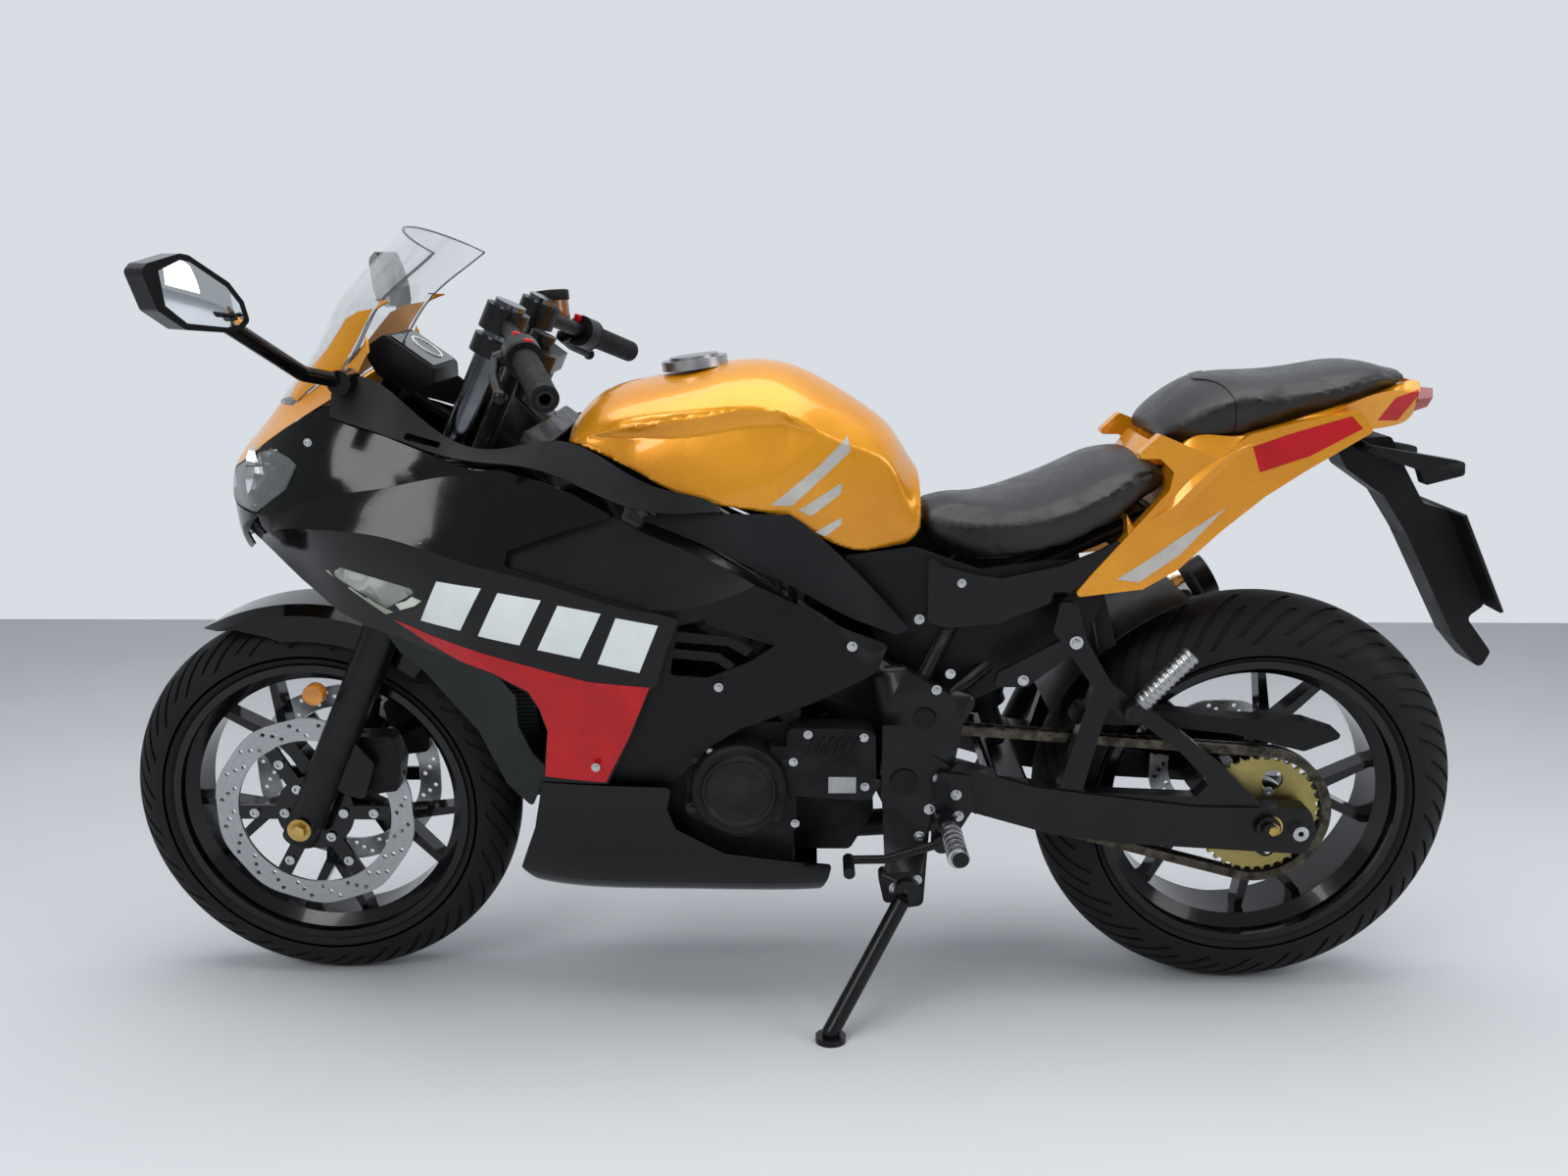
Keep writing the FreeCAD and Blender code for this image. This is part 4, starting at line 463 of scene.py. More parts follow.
tyres = {
    "frontTread": {"node": "front_tyre", "axle": bike["frontAxle"], "radius": 292.0, "half": 55.0, "pitches": 26,
        "body": "front_wheel"},
    "rearTread": {"node": "rear_tyre", "axle": bike["rearAxle"], "radius": 308.0, "half": 75.0, "pitches": 26,
        "body": "rear_wheel"},
    "bead": 216.4, "perPitch": 14, "rows": 48, "wallRows": 4, "rib": 0.8, "narrow": 0.72, "depth": 3.4, "shear": 1.2,
    "first": (2, 3), "second": (9, 10), "long": (0.08, 0.62), "short": (0.30, 0.70),
}


def treadedTyre(name, values):
    perPitch, rows = tyres["perPitch"], tyres["rows"]
    around = values["pitches"] * perPitch
    deselect()
    bpy.ops.mesh.primitive_grid_add(x_subdivisions=around, y_subdivisions=rows, size=2)
    obj = bpy.context.object
    crown = values["radius"] - values["half"]
    pitchTurn = 2 * math.pi / values["pitches"]
    sideRows = tyres["wallRows"]
    marks = {}
    for vertex in obj.data.vertices:
        column = round((vertex.co.x + 1) / 2 * around)
        row = round((vertex.co.y + 1) / 2 * rows)
        edge = min(row, rows - row)
        side = 1 if row > rows / 2 else -1
        if edge <= sideRows:  # the wall, from the bead to the widest place, with a moulded rib
            share = edge / sideRows
            rib = tyres["rib"] if edge == 2 else 0.0
            radius = tyres["bead"] + (crown - tyres["bead"]) * share
            bulge = tyres["narrow"] + (1 - tyres["narrow"]) * math.sin(share * math.pi / 2)
            across = side * (values["half"] * bulge + rib)
            slope = 0
        else:
            angle = (row - rows / 2) / (rows / 2 - sideRows) * math.pi / 2
            radius = crown + values["half"] * math.cos(angle)
            across = values["half"] * math.sin(angle)
            slope = abs(angle)
        turn = column * 2 * math.pi / around + slope * tyres["shear"] * pitchTurn
        marks[vertex.index] = (column, row)
        vertex.co = (radius / 1000 * math.cos(turn), across / 1000, radius / 1000 * math.sin(turn))
    chosen = []
    for face in obj.data.polygons:
        column = min(marks[v][0] for v in face.vertices) % perPitch
        row = min(marks[v][1] for v in face.vertices)
        share = abs(row + 0.5 - rows / 2) / (rows / 2)
        left = row < rows / 2
        for columns, reach in ((tyres["first"], tyres["short" if left else "long"]),
                               (tyres["second"], tyres["long" if left else "short"])):
            if column in columns and reach[0] < share < reach[1]:
                chosen.append(face.index)
    activate(obj)
    editNone("FACE")
    leaveEdit()
    for index in chosen:
        obj.data.polygons[index].select = True
    bpy.ops.object.mode_set(mode="EDIT")
    bpy.ops.mesh.extrude_region_move(TRANSFORM_OT_translate={"value": (0, 0, 0)})
    leaveEdit()
    for vertex in obj.data.vertices:
        if vertex.select:  # the floor of the groove goes towards the middle of the tyre's section
            radius = math.hypot(vertex.co.x, vertex.co.z)
            aim = Vector((vertex.co.x / radius, 0, vertex.co.z / radius)) * crown / 1000
            vertex.co += (aim - vertex.co).normalized() * tyres["depth"] / 1000
    bpy.ops.object.mode_set(mode="EDIT")
    bpy.ops.mesh.select_mode(type="VERT")
    bpy.ops.mesh.select_all(action="SELECT")
    bpy.ops.mesh.remove_doubles(threshold=0.00003)
    editNone("EDGE")
    bpy.ops.mesh.select_non_manifold()
    bpy.ops.mesh.bridge_edge_loops()
    bpy.ops.mesh.select_all(action="SELECT")
    bpy.ops.mesh.normals_make_consistent(inside=False)
    leaveEdit()
    obj.location = values["axle"]
    applyAll(obj)
    finishPiece(obj, name, tyreBlack, values["body"], smooth=40, replaces=(values["node"],))


for name in ("frontTread", "rearTread"):
    treadedTyre(name, tyres[name])
print("tyres done")


discs = {
    "frontDrilled": {"node": "front_discs", "axle": bike["frontAxle"], "inner": 114.0, "outer": 146.0, "reach": 90.0,
        "groups": 20, "body": "front_wheel"},
    "rearDrilled": {"node": "rear_disc", "axle": bike["rearAxle"], "inner": 78.0, "outer": 107.0, "reach": 110.0,
        "groups": 16, "body": "rear_wheel"},
    "hole": 3.4, "across": (0.24, 0.5, 0.76), "slant": 0.28,
}


def drilledDisc(name, values):
    disc = nodeCopy(values["node"])
    drills = []
    for k in range(values["groups"]):
        for step, share in enumerate(discs["across"]):
            angle = 2 * math.pi * (k + step * discs["slant"]) / values["groups"]
            r = (values["inner"] + (values["outer"] - values["inner"]) * share) / 1000
            spot = Vector(values["axle"]) + Vector((r * math.cos(angle), 0, r * math.sin(angle)))
            reach = Vector((0, values["reach"] / 1000, 0))
            drills.append(rodPiece(spot - reach, spot + reach, discs["hole"] / 1000, sides=12))
    cutter = join(drills)
    cutter.data.transform(toRow)
    addModifier(disc, "BOOLEAN", operation="DIFFERENCE", object=cutter, solver="EXACT")
    applyAll(disc)
    bpy.data.objects.remove(cutter)
    material = discSteelFront if "front" in name else discSteelRear
    finishPiece(disc, name, material, values["body"], smooth=30, leaned=False, replaces=(values["node"],))


for name in ("frontDrilled", "rearDrilled"):
    drilledDisc(name, discs[name])
print("discs done")


def hexBolt(at, direction, size, head):  # a hexagon head on its washer
    at, direction = Vector(at), Vector(direction).normalized()
    washer = rodPiece(at - direction * 0.001, at + direction * 0.0012, size * 0.0009, sides=20)
    return join([washer, rodPiece(at, at + direction * head / 1000, size * 0.00058, sides=6, bevel=0.0006)])


def capBolt(at, direction, size, head):  # a round head with a hexagon socket
    at, direction = Vector(at), Vector(direction).normalized()
    deselect()
    bpy.ops.mesh.primitive_cylinder_add(vertices=24, radius=size * 0.0009, depth=head / 1000,
                                        location=at + direction * head / 2000, rotation=alongAxis(direction))
    obj = bpy.context.object
    applyAll(obj)
    activate(obj)
    for face in obj.data.polygons:
        face.select = face.normal.dot(direction) > 0.9
    bpy.ops.object.mode_set(mode="EDIT")
    bpy.ops.mesh.select_mode(type="FACE")
    bpy.ops.mesh.inset(thickness=size * 0.0003)
    bpy.ops.mesh.inset(thickness=size * 0.00012)
    bpy.ops.mesh.extrude_region_move(TRANSFORM_OT_translate={"value": tuple(-direction * head * 0.0006)})
    leaveEdit()
    return obj


bolts = {
    "width": 0.85, "height": 0.4,  # shares of the head size
    # x, y, z, head size and 1 where the right side has its twin
    "panelBolts": [(100, -189, 591, 9, 1), (190, -163, 621, 9, 1), (-452, -222, 736, 7, 1), (-602, -176, 860, 7, 1),
        (-246, -196, 420, 8, 1),
                   (-76, -208, 540, 8, 1), (250, -122, 660, 8, 1)],
    "frameBolts": [(234, -162, 544, 9, 1), (216, -162, 521, 9, 1), (222, -162, 391, 10, 1), (211, -162, 345, 10, 1),
                   (246, -173, 372, 10, 1), (250, -173, 340, 10, 1), (404, -148, 584, 12, 1), (335, -148, 530, 10, 1),
                       (198, -162, 304, 10, 1),
                   (167, -162, 223, 13, 1), (196, -162, 236, 10, 1)],
    "coverBolts": [(22, -179, 422, 8, 0), (42, -179, 462, 8, 0), (118, -179, 458, 8, 0), (-90, -181, 436, 8, 0), (0,
        -181, 355, 8, 0),
                   (-112, -153, 350, 8, 0), (24, -153, 318, 8, 0), (-8, -179, 396, 8, 0), (120, -179, 386, 8, 0)],
}


def boltRow(name, rows):
    made = []
    for x, y, z, size, both in rows:
        bolt = hexBolt(mm(x, y, z), (0, -1, 0), size * bolts["width"], size * bolts["height"])
        made += [bolt, twin(bolt)] if both else [bolt]
    finishPiece(join(made), name, zincBolt, smooth=30)


for name in ("panelBolts", "frameBolts", "coverBolts"):
    boltRow(name, bolts[name])


def discBolts(name, axle, faces, count, radius, body):
    made = []
    for y, direction in faces:
        for k in range(count):
            angle = 2 * math.pi * k / count
            spot = Vector(axle) + mm(radius * math.cos(angle), y, radius * math.sin(angle))
            made.append(capBolt(spot, (0, direction, 0), 8.0, 4.0))
    finishPiece(join(made), name, zincBolt, body, smooth=30)


discBolts("frontCarrierBolts", bike["frontAxle"], [(-74.5, -1), (74.5, 1)], 6, 44, "front_wheel")
discBolts("frontDiscPins", bike["frontAxle"], [(-74.3, -1), (74.3, 1)], 6, 89, "front_wheel")
discBolts("rearCarrierBolts", bike["rearAxle"], [(90.5, 1)], 6, 44, "rear_wheel")
discBolts("sprocketBolts", bike["rearAxle"], [(-94.7, -1)], 5, 38, "rear_wheel")

axleParts = {
    "rearNut": {"at": (695, -136, 308), "size": 19, "head": 10},
    "frontNut": {"at": (-690, -133.6, 292.8), "size": 19, "head": 8},
    "caps": [(175, 386, 19), (200, 480, 15)],
}


def rearAxleNut():
    at = mm(*axleParts["rearNut"]["at"])
    nut = hexBolt(at, (0, -1, 0), axleParts["rearNut"]["size"], axleParts["rearNut"]["head"])
    tip = rodPiece(at, at + mm(0, -15, 0), 0.007, sides=24, bevel=0.001)
    finishPiece(join([nut, tip]), "rearAxleNut", goldZinc)


def frontAxleNut():
    values = axleParts["frontNut"]
    nut = hexBolt(mm(*values["at"]), (0, -1, 0), values["size"], values["head"])
    finishPiece(nut, "frontAxleNut", goldZinc, "steering")


def frameCaps():  # push-in plastic caps over the pivot and the upper frame boss
    made = []
    for x, z, radius in axleParts["caps"]:
        cap = rodPiece(mm(x, -161, z), mm(x, -167, z), radius / 1000, sides=40, bevel=0.002)
        made += [cap, twin(cap)]
    finishPiece(join(made), "frameCaps", blackPebble)


rearAxleNut()
frontAxleNut()
frameCaps()


chain = {"front": (80.0, 412.0, 42.5), "rear": (690.0, 309.0, 97.0), "offset": -92.0, "plate": (15.0, 6.2, 2.0),
         "pitch": 15.875, "inner": 4.2, "outer": 6.6, "pin": 9.6}


def chainPath():  # the tangent runs and the two wraps, in mm
    fx, fz, fr = chain["front"]
    rx, rz, rr = chain["rear"]
    dx, dz = rx - fx, rz - fz
    span = math.hypot(dx, dz)
    base = math.atan2(dz, dx)
    lean = math.asin((rr - fr) / span)
    top, low = base + math.pi / 2 + lean, base - math.pi / 2 - lean
    points = []
    for k in range(33):
        angle = low - (2 * math.pi - (top - low)) * k / 32
        points.append((fx + fr * math.cos(angle), fz + fr * math.sin(angle)))
    for k in range(65):
        angle = top - (top - low) * k / 64
        points.append((rx + rr * math.cos(angle), rz + rr * math.sin(angle)))
    return points + points[:1]


def chainLinks():
    points = chainPath()
    lengths = [0.0]
    for (ax, az), (bx, bz) in zip(points, points[1:]):
        lengths.append(lengths[-1] + math.hypot(bx - ax, bz - az))
    count = 2 * round(lengths[-1] / chain["pitch"] / 2)
    pitch = lengths[-1] / count

    def spot(distance):
        distance %= lengths[-1]
        for k in range(len(lengths) - 1):
            if lengths[k + 1] >= distance:
                share = (distance - lengths[k]) / max(1e-6, lengths[k + 1] - lengths[k])
                (ax, az), (bx, bz) = points[k], points[k + 1]
                return Vector((ax + (bx - ax) * share, 0, az + (bz - az) * share))

    wide, tall, thick = chain["plate"]
    half = wide / 2
    outline = [(-half - 4.5, -4), (-half, -tall), (0, -tall * 0.72), (half, -tall), (half + 4.5, -4), (half + 4.5, 4),
               (half, tall), (0, tall * 0.72), (-half, tall), (-half - 4.5, 4)]
    model = platePiece(outline, 0, thick, bevel=0.5)
    pin = rodPiece(mm(0, -chain["pin"], 0), mm(0, chain["pin"], 0), 0.0026, sides=10)
    made = []
    for k in range(count):
        start, end = spot(k * pitch), spot((k + 1) * pitch)
        middle, run = (start + end) / 2, end - start
        turn = Matrix.Rotation(-math.atan2(run.z, run.x), 4, "Y")
        outer = chain["outer" if k % 2 else "inner"]
        for y in (outer, -outer - thick):
            made.append(duplicate(model, Matrix.Translation(mm(middle.x, chain["offset"] + y, middle.z)) @ turn))
        made.append(duplicate(pin, Matrix.Translation(mm(start.x, chain["offset"], start.z))))
    bpy.data.objects.remove(model)
    bpy.data.objects.remove(pin)
    finishPiece(join(made), "chainLinks", chainSteel, smooth=30)


chainLinks()
print("chain done")


def filmPiece(outline, node):
    # An outline in the side view, pressed sideways onto the left of a panel like a film
    film = flatOutline(outline, "side", -filmSize["start"])
    editAll()
    bpy.ops.mesh.quads_convert_to_tris(ngon_method="BEAUTY")
    for _ in range(filmSize["cuts"]):
        bpy.ops.mesh.subdivide(number_cuts=1)
    leaveEdit()
    target = nodeCopy(node, upright=True)
    addModifier(film, "SHRINKWRAP", target=target, wrap_method="PROJECT", wrap_mode="ON_SURFACE", use_project_y=True,
                use_project_x=False, use_project_z=False, use_negative_direction=True, use_positive_direction=True,
                project_limit=0.6)
    applyAll(film)
    stray = [v.index for v in film.data.vertices if abs(v.co.y) > 0.4]
    activate(film)
    if stray:
        editNone("VERT")
        leaveEdit()
        for index in stray:
            film.data.vertices[index].select = True
        bpy.ops.object.mode_set(mode="EDIT")
        bpy.ops.mesh.delete(type="VERT")
        leaveEdit()
    film.data.transform(Matrix.Translation(mm(0, -filmSize["lift"], 0)))
    outwardNormals(film)
    addModifier(film, "SOLIDIFY", thickness=filmSize["wall"] / 1000, offset=0)
    applyAll(film)
    bpy.data.objects.remove(target)
    return film


filmSize = {"start": 420, "cuts": 3, "lift": 0.35, "wall": 0.245}
films = {
    "redPatch": {"node": "side_fairings", "finish": redFilm, "slot": "black_gloss", "outlines": [
        [(-513, 622), (-460, 604), (-351, 577), (-248, 549), (-167, 541), (-199, 464), (-236, 391), (-321, 396),
         (-309, 471), (-317, 505),
         (-330, 531), (-376, 556), (-424, 570), (-470, 592)]]},
    "whiteBars": {"node": "side_fairings", "finish": whiteFilm, "slot": "black_gloss", "outlines": [
        [(-435, 688), (-377, 680), (-413, 618), (-470, 626)], [(-356, 674), (-301, 664), (-334, 601), (-389, 612)],
        [(-280, 657), (-225, 646), (-256, 583), (-311, 595)], [(-206, 640), (-152, 629), (-179, 563), (-233, 576)]]},
    "tankStripe": {"node": "fuel_tank", "finish": silverFilm, "slot": "tank_paint", "outlines": [
        [(-8, 771), (20, 769), (98, 838), (94, 858), (57, 822)], [(29, 763), (46, 754), (86, 783), (86, 797)], [(51,
            732), (65, 725), (86, 740), (87, 750)]]},
    "tailStripe": {"node": "tail_cowl", "finish": silverFilm, "slot": "yellow_paint", "outlines": [
        [(458, 666), (488, 662), (540, 700), (596, 765), (544, 728), (498, 693)]]},
    "noseSides": {"node": "windscreen", "finish": amberPaint, "slot": "yellow_paint", "outlines": [
        [(-664, 908), (-657, 922), (-603, 970), (-569, 1011), (-548, 1021), (-524, 1025), (-541, 1000), (-566, 963),
         (-580, 943), (-616, 920), (-644, 902)]]},
    "signalCovers": {"node": "side_fairings", "finish": flutedLens, "slot": "clear", "outlines": [
        [(-600, 687), (-568, 697), (-462, 657), (-474, 648), (-522, 629)]]},
    "tailPatch": {"node": "tail_cowl", "finish": redFilm, "slot": "yellow_paint", "outlines": [
        [(624, 846), (668, 862), (700, 872), (748, 886), (764, 870), (700, 834), (636, 812)]]},
    "tailLensWings": {"node": "tail_cowl", "finish": redFilm, "slot": "clear", "outlines": [
        [(804, 874), (836, 872), (861, 905), (860, 914), (824, 904)]]},
}


def allFilms():
    for name, values in films.items():
        made = []
        for outline in values["outlines"]:
            left = filmPiece(outline, values["node"])
            made += [left, twin(left)]
        finishPiece(join(made), name, values["finish"], smooth=40)


allFilms()
print("films done")


lamps = {"bowl": 38.0, "bowlDeep": 40.0, "bowlAt": (-698, 84, 800), "reflectorAt": (-650, -128, 498), "reflector": 15}


def lampInside():
    shell = nodeCopy("headlights", upright=True)
    for vertex in shell.data.vertices:
        side = 1 if vertex.co.y > 0 else -1
        vertex.co.x += 0.016
        vertex.co.y -= side * 0.008
    finishPiece(shell, "lampChamber", chamberGrey)
    x, y, z = lamps["bowlAt"]
    wide, deep = lamps["bowl"], lamps["bowlDeep"]
    profile = [(10, 0), (24, 7), (33, 18), (wide, deep), (wide + 3, deep), (35, 16), (26, 4), (10, -3)]
    bowl = ringPiece(profile, mm(x + 22, -y, z), (-1, -0.15, 0.04), 40)
    bulb = rodPiece(mm(x + 22, -y, z), mm(x - 4, -y - 3, z + 1), 0.008, sides=20, bevel=0.003)
    finishPiece(bothSides([bowl, bulb]), "lampBowls", chrome)


lampInside()


def forkReflectors():
    x, y, z = lamps["reflectorAt"]
    base = rodPiece(mm(x, y + 12, z), mm(x, y - 6, z), lamps["reflector"] / 1000, sides=40, bevel=0.002)
    finishPiece(bothSides([base]), "forkReflectors", amberLens, "steering")


forkReflectors()

mirrorPlane = {"outline": [(6, 1078), (-20, 1089), (-31, 1087), (-72, 1059), (-86, 1040), (-90, 1023), (-83, 1016),
    (-68, 1014), (-20, 1021), (3, 1041)],
               "turn": 32.0, "centre": (-655, 386, 0), "proud": 1.2}


def mirrorFaces():
    face = platePiece(mirrorPlane["outline"], -1.0, mirrorPlane["proud"], plane="front", bevel=0.5)
    turn = Matrix.Rotation(math.radians(mirrorPlane["turn"]), 4, "Z")
    face.data.transform(Matrix.Translation(mm(*mirrorPlane["centre"])) @ turn)
    finishPiece(bothSides([face]), "mirrorGlass", mirrorGlass)


mirrorFaces()
print("lamps and mirrors done")


def indicatorLenses():  # the front pair is a ribbed lens, the rear pair is moulded in black
    lenses = nodeCopy("turn_signals")
    finishPiece(lenses, "indicatorLenses", signalLens, leaned=False, replaces=("turn_signals",))
    lenses.data.materials.append(blackPebble)
    for face in lenses.data.polygons:
        if face.center.x > 0:
            face.material_index = 1


indicatorLenses()

screenEdge = {"radius": 1.0, "angle": 55}


def screenRimLine():  # the cut edge of the screen is drawn as a darker, nearly opaque tube: painted shade for how light bends at the edge
    sheet = nodeCopy("windscreen")
    activate(sheet)
    editNone("EDGE")
    bpy.ops.mesh.edges_select_sharp(sharpness=math.radians(screenEdge["angle"]))
    bpy.ops.mesh.separate(type="SELECTED")
    leaveEdit()
    rim = [obj for obj in bpy.context.selected_objects if obj != sheet][0]
    bpy.data.objects.remove(sheet)
    activate(rim)
    bpy.ops.object.convert(target="CURVE")
    rim.data.bevel_depth, rim.data.bevel_resolution = screenEdge["radius"] / 1000, 1
    bpy.ops.object.convert(target="MESH")
    rim = bpy.context.object
    outwardNormals(rim)
    finishPiece(rim, "screenEdgeShade", screenEdgeShade, leaned=False)


screenRimLine()

fittings = {
    "riderPeg": {"start": (234, -200, 334), "end": (240, -291, 334), "rib": (237, -212, 334), "ribs": 6, "pitch": 14},
    "peg": {"start": (482, -157, 486), "end": (556, -159, 570), "ribs": 11, "radius": 13.4},
    "silencer": {"start": (424, 222, 432), "end": (672, 226, 572), "share": (0.86, 0.93), "radius": 50.4},
    "buttons": [(-318, -210, 997), (-300, -232, 990)],
    "pot": {"foot": (-346, 176, 992), "top": (-350, 180, 1036), "radius": 24.4},
    "rests": [(-60, 610, 134), (340, 673, 101)],
    "guard": {"radius": 336, "wall": 3, "turns": (110, 154), "half": 78},
    "bracket": [(452, 548), (474, 560), (446, 660), (428, 652)],
}
plates = {  # an outline in the side view, its span across, bevel, finish and slot, and 1 where it is on both sides
    "lampDivider": ([(-779, 775), (-779, 799.5), (-762, 803), (-762, 770)], -10.5, 10.5, 2, glossBlack, "black_gloss",
        0),
    "plateFace": ([(943.4, 742), (944.6, 742.6), (1013.4, 607.2), (1012.2, 606.6)], -68, 68, 0, plateWhite,
        "plate_white", 0),
    "seatCovers": ([(92, 694), (187, 706), (276, 675), (364, 688), (421, 690), (446, 640), (430, 582), (350, 524),
        (268, 482), (190, 470), (150, 540), (110, 640)], -105, -102, 0.6, blackPebble, "black_matte", 1),
    "tailHump": ([(486, 817), (496, 830), (507, 845), (514, 843), (514, 835), (527, 828), (527, 812), (502, 812),
        (490, 810)], -68, 68, 3, amberPaint, "yellow_paint", 0),
    "blankLabel": ([(70, 400), (108, 400), (108, 376), (70, 376)], -179.2, -177.5, 0.3, castAlloy, "alloy", 0),
    "gaugePod": ([(-558, 958), (-553, 976), (-534, 988), (-528, 988), (-466, 943), (-466, 922), (-500, 908), (-545,
        934)], -60, 60, 4, blackPebble, "black_matte", 0),
    "gaugeGlass": ([(-524, 985.9), (-469, 946), (-468.3, 947), (-523.3, 986.9)], -53, 53, 0, dialFace, "black_gloss",
        0),
}


def pegSleeves():  # cast pegs with ribs across
    values = fittings["peg"]
    start, end = mm(*values["start"]), mm(*values["end"])
    run = end - start
    made = []
    for k in range(values["ribs"]):
        share = 0.2 + 0.76 * k / (values["ribs"] - 1)
        spot = start + run * share
        made.append(rodPiece(spot, spot + run.normalized() * 0.005, values["radius"] / 1000, bevel=0.001))
    made.append(rodPiece(start + run * 0.16, end + run * 0.02, 0.0119, bevel=0.001))
    finishPiece(bothSides(made), "pegSleeves", castAlloy)


def silencerBand():
    values = fittings["silencer"]
    start, end = mm(*values["start"]), mm(*values["end"])
    low, high = (start + (end - start) * share for share in values["share"])
    half = (high - low).length * 500
    r = values["radius"]
    profile = [(r - 1.8, -half), (r - 0.4, -half), (r, 1 - half), (r, half - 1), (r - 0.4, half), (r - 1.8, half)]
    band = ringPiece(profile, (low + high) / 2, high - low, 64)
    finishPiece(band, "silencerBand", chrome)


def barFittings():
    made = [rodPiece(mm(x, y, z - 6), mm(x + 3, y, z + 4), 0.006, bevel=0.0012) for x, y, z in fittings["buttons"]]
    made.append(twin(made[0]))
    finishPiece(join(made), "switchButtons", redButton, "steering")
    foot, top = mm(*fittings["pot"]["foot"]), mm(*fittings["pot"]["top"])
    r = fittings["pot"]["radius"] / 1000
    window = rodPiece(foot + (top - foot) * 0.12, foot + (top - foot) * 0.7, r, sides=40, bevel=0.001)
    finishPiece(window, "fluidPot", fluidAmber, "steering")
    cap = rodPiece(foot + (top - foot) * 0.7, foot + (top - foot) * 1.04, r + 0.002, sides=40, bevel=0.0015)
    finishPiece(cap, "potCap", blackPebble, "steering")


def plainPlates():
    for name, (outline, low, high, bevel, material, slot, both) in plates.items():
        sheet = platePiece(outline, low, high, bevel=bevel)
        swapped = ("gauge",) if name == "gaugePod" else ()
        finishPiece(bothSides([sheet]) if both else sheet, name, material, replaces=swapped)


def trimmedFrame():  # four of its rests end where the panels lie
    obj = nodeCopy("frame")
    for vertex in obj.data.vertices:
        at = toBike @ vertex.co * 1000
        for x, z, end in fittings["rests"]:
            if abs(at.x - x) < 12 and abs(at.z - z) < 12 and abs(at.y) > end:
                at.y = math.copysign(end, at.y)
                vertex.co = toRow @ (at / 1000)
    finishPiece(obj, "trimmedFrame", satinBlack, leaned=False, replaces=("frame",))


def innerGuard():  # the inner mudguard ahead of the rear tyre
    values = fittings["guard"]
    first, last = values["turns"]
    angles = [math.radians(first + (last - first) * k / 20) for k in range(21)]
    r = values["radius"]
    line = [(690 + r * math.cos(a), 309 + r * math.sin(a)) for a in angles]
    r -= values["wall"]
    line += [(690 + r * math.cos(a), 309 + r * math.sin(a)) for a in reversed(angles)]
    sheet = platePiece(line, -values["half"], values["half"], bevel=0.5)
    arm = platePiece(fittings["bracket"], -84, -66, bevel=1)
    finishPiece(join([sheet, arm, twin(arm)]), "innerGuard", blackPebble)


def riderPegs():
    values = fittings["riderPeg"]
    made = [rodPiece(mm(*values["start"]), mm(*values["end"]), 0.0124, bevel=0.002)]
    x, first, z = values["rib"]
    for k in range(values["ribs"]):
        y = first - values["pitch"] * k
        made.append(rodPiece(mm(x, y, z), mm(x, y - 6, z), 0.0142, bevel=0.0008))
    finishPiece(bothSides(made), "riderPegs", castAlloy)


trimmedFrame()
plainPlates()
innerGuard()
riderPegs()
pegSleeves()
silencerBand()
barFittings()


engineTrim = {
    "cover": {"centre": (-52, -196, 385), "profile": [(0, 0), (0, 3.5), (24, 3.5), (27, 2), (44, 2), (47, 5), (50, 5),
        (53, 0)]},
    "bosses": [(-110, 426), (-118, 352), (-4, 340), (8, 424)],
    "ribs": {"first": (40, 432), "step": 12, "count": 6, "run": (10, 26)},
    "cap": {"at": (17, 484), "radius": 16, "out": -158},
}


def coverTrim():
    cover = ringPiece(engineTrim["cover"]["profile"], mm(*engineTrim["cover"]["centre"]), (0, -1, 0), 64)
    made = [cover]
    for x, z in engineTrim["bosses"]:
        made.append(rodPiece(mm(x, -150, z), mm(x, -178, z), 0.009, bevel=0.001))
        made.append(hexBolt(mm(x, -178, z), (0, -1, 0), 8, 4))
    finishPiece(join(made), "alternatorCover", coverDark)
    ribs, values = [], engineTrim["ribs"]
    for k in range(values["count"]):
        x, z = values["first"][0] + k * values["step"], values["first"][1]
        dx, dz = values["run"]
        ribs.append(platePiece([(x, z), (x + 4, z), (x + 4 + dx, z + dz), (x + dx, z + dz)], -182, -177, bevel=1))
    cap = engineTrim["cap"]
    ribs.append(rodPiece(mm(cap["at"][0], -136, cap["at"][1]), mm(cap["at"][0], cap["out"], cap["at"][1]),
        cap["radius"] / 1000, bevel=0.003))
    finishPiece(join(ribs), "chainCoverRibs", castDark)


coverTrim()


dial = {"centre": (-496, 12, 966.2), "ring": 23.0, "up": (40, 0, 55), "marks": 13, "turns": (-130, 130)}


def dialMarks():
    up = mm(*dial["up"]).normalized()
    r = dial["ring"]
    profile = [(r - 1.4, 0), (r - 1.4, 1.6), (r, 2.0), (r + 1.4, 1.6), (r + 1.4, 0)]
    ring = ringPiece(profile, mm(*dial["centre"]) + up * 0.0008, up, 48)
    across, along = Vector((0, 1, 0)), up.cross(Vector((0, 1, 0)))
    made = [ring]
    low, high = dial["turns"]
    for k in range(dial["marks"]):
        angle = math.radians(low + (high - low) * k / (dial["marks"] - 1))
        way = across * math.sin(angle) + along * math.cos(angle)
        spot = mm(*dial["centre"]) + up * 0.0012
        made.append(rodPiece(spot + way * 0.017, spot + way * 0.0215, 0.0005, sides=6))
    finishPiece(join(made), "dialMarks", whiteFilm)


dialMarks()
print("fittings done")


tankPress = {"voxel": 3.5, "depth": 17.0, "lip": 2.0, "edge": 0.22,
             "crease": [(-250, 860), (-195, 873), (-130, 881), (-41, 897), (4, 895), (52, 866)],
             "low": [(-250, 850), (-197, 808), (-120, 777), (-68, 781), (-3, 802), (52, 856)]}


def lineHeight(points, x):
    for (ax, az), (bx, bz) in zip(points, points[1:]):
        if ax <= x <= bx:
            return az + (bz - az) * (x - ax) / (bx - ax)
    return None


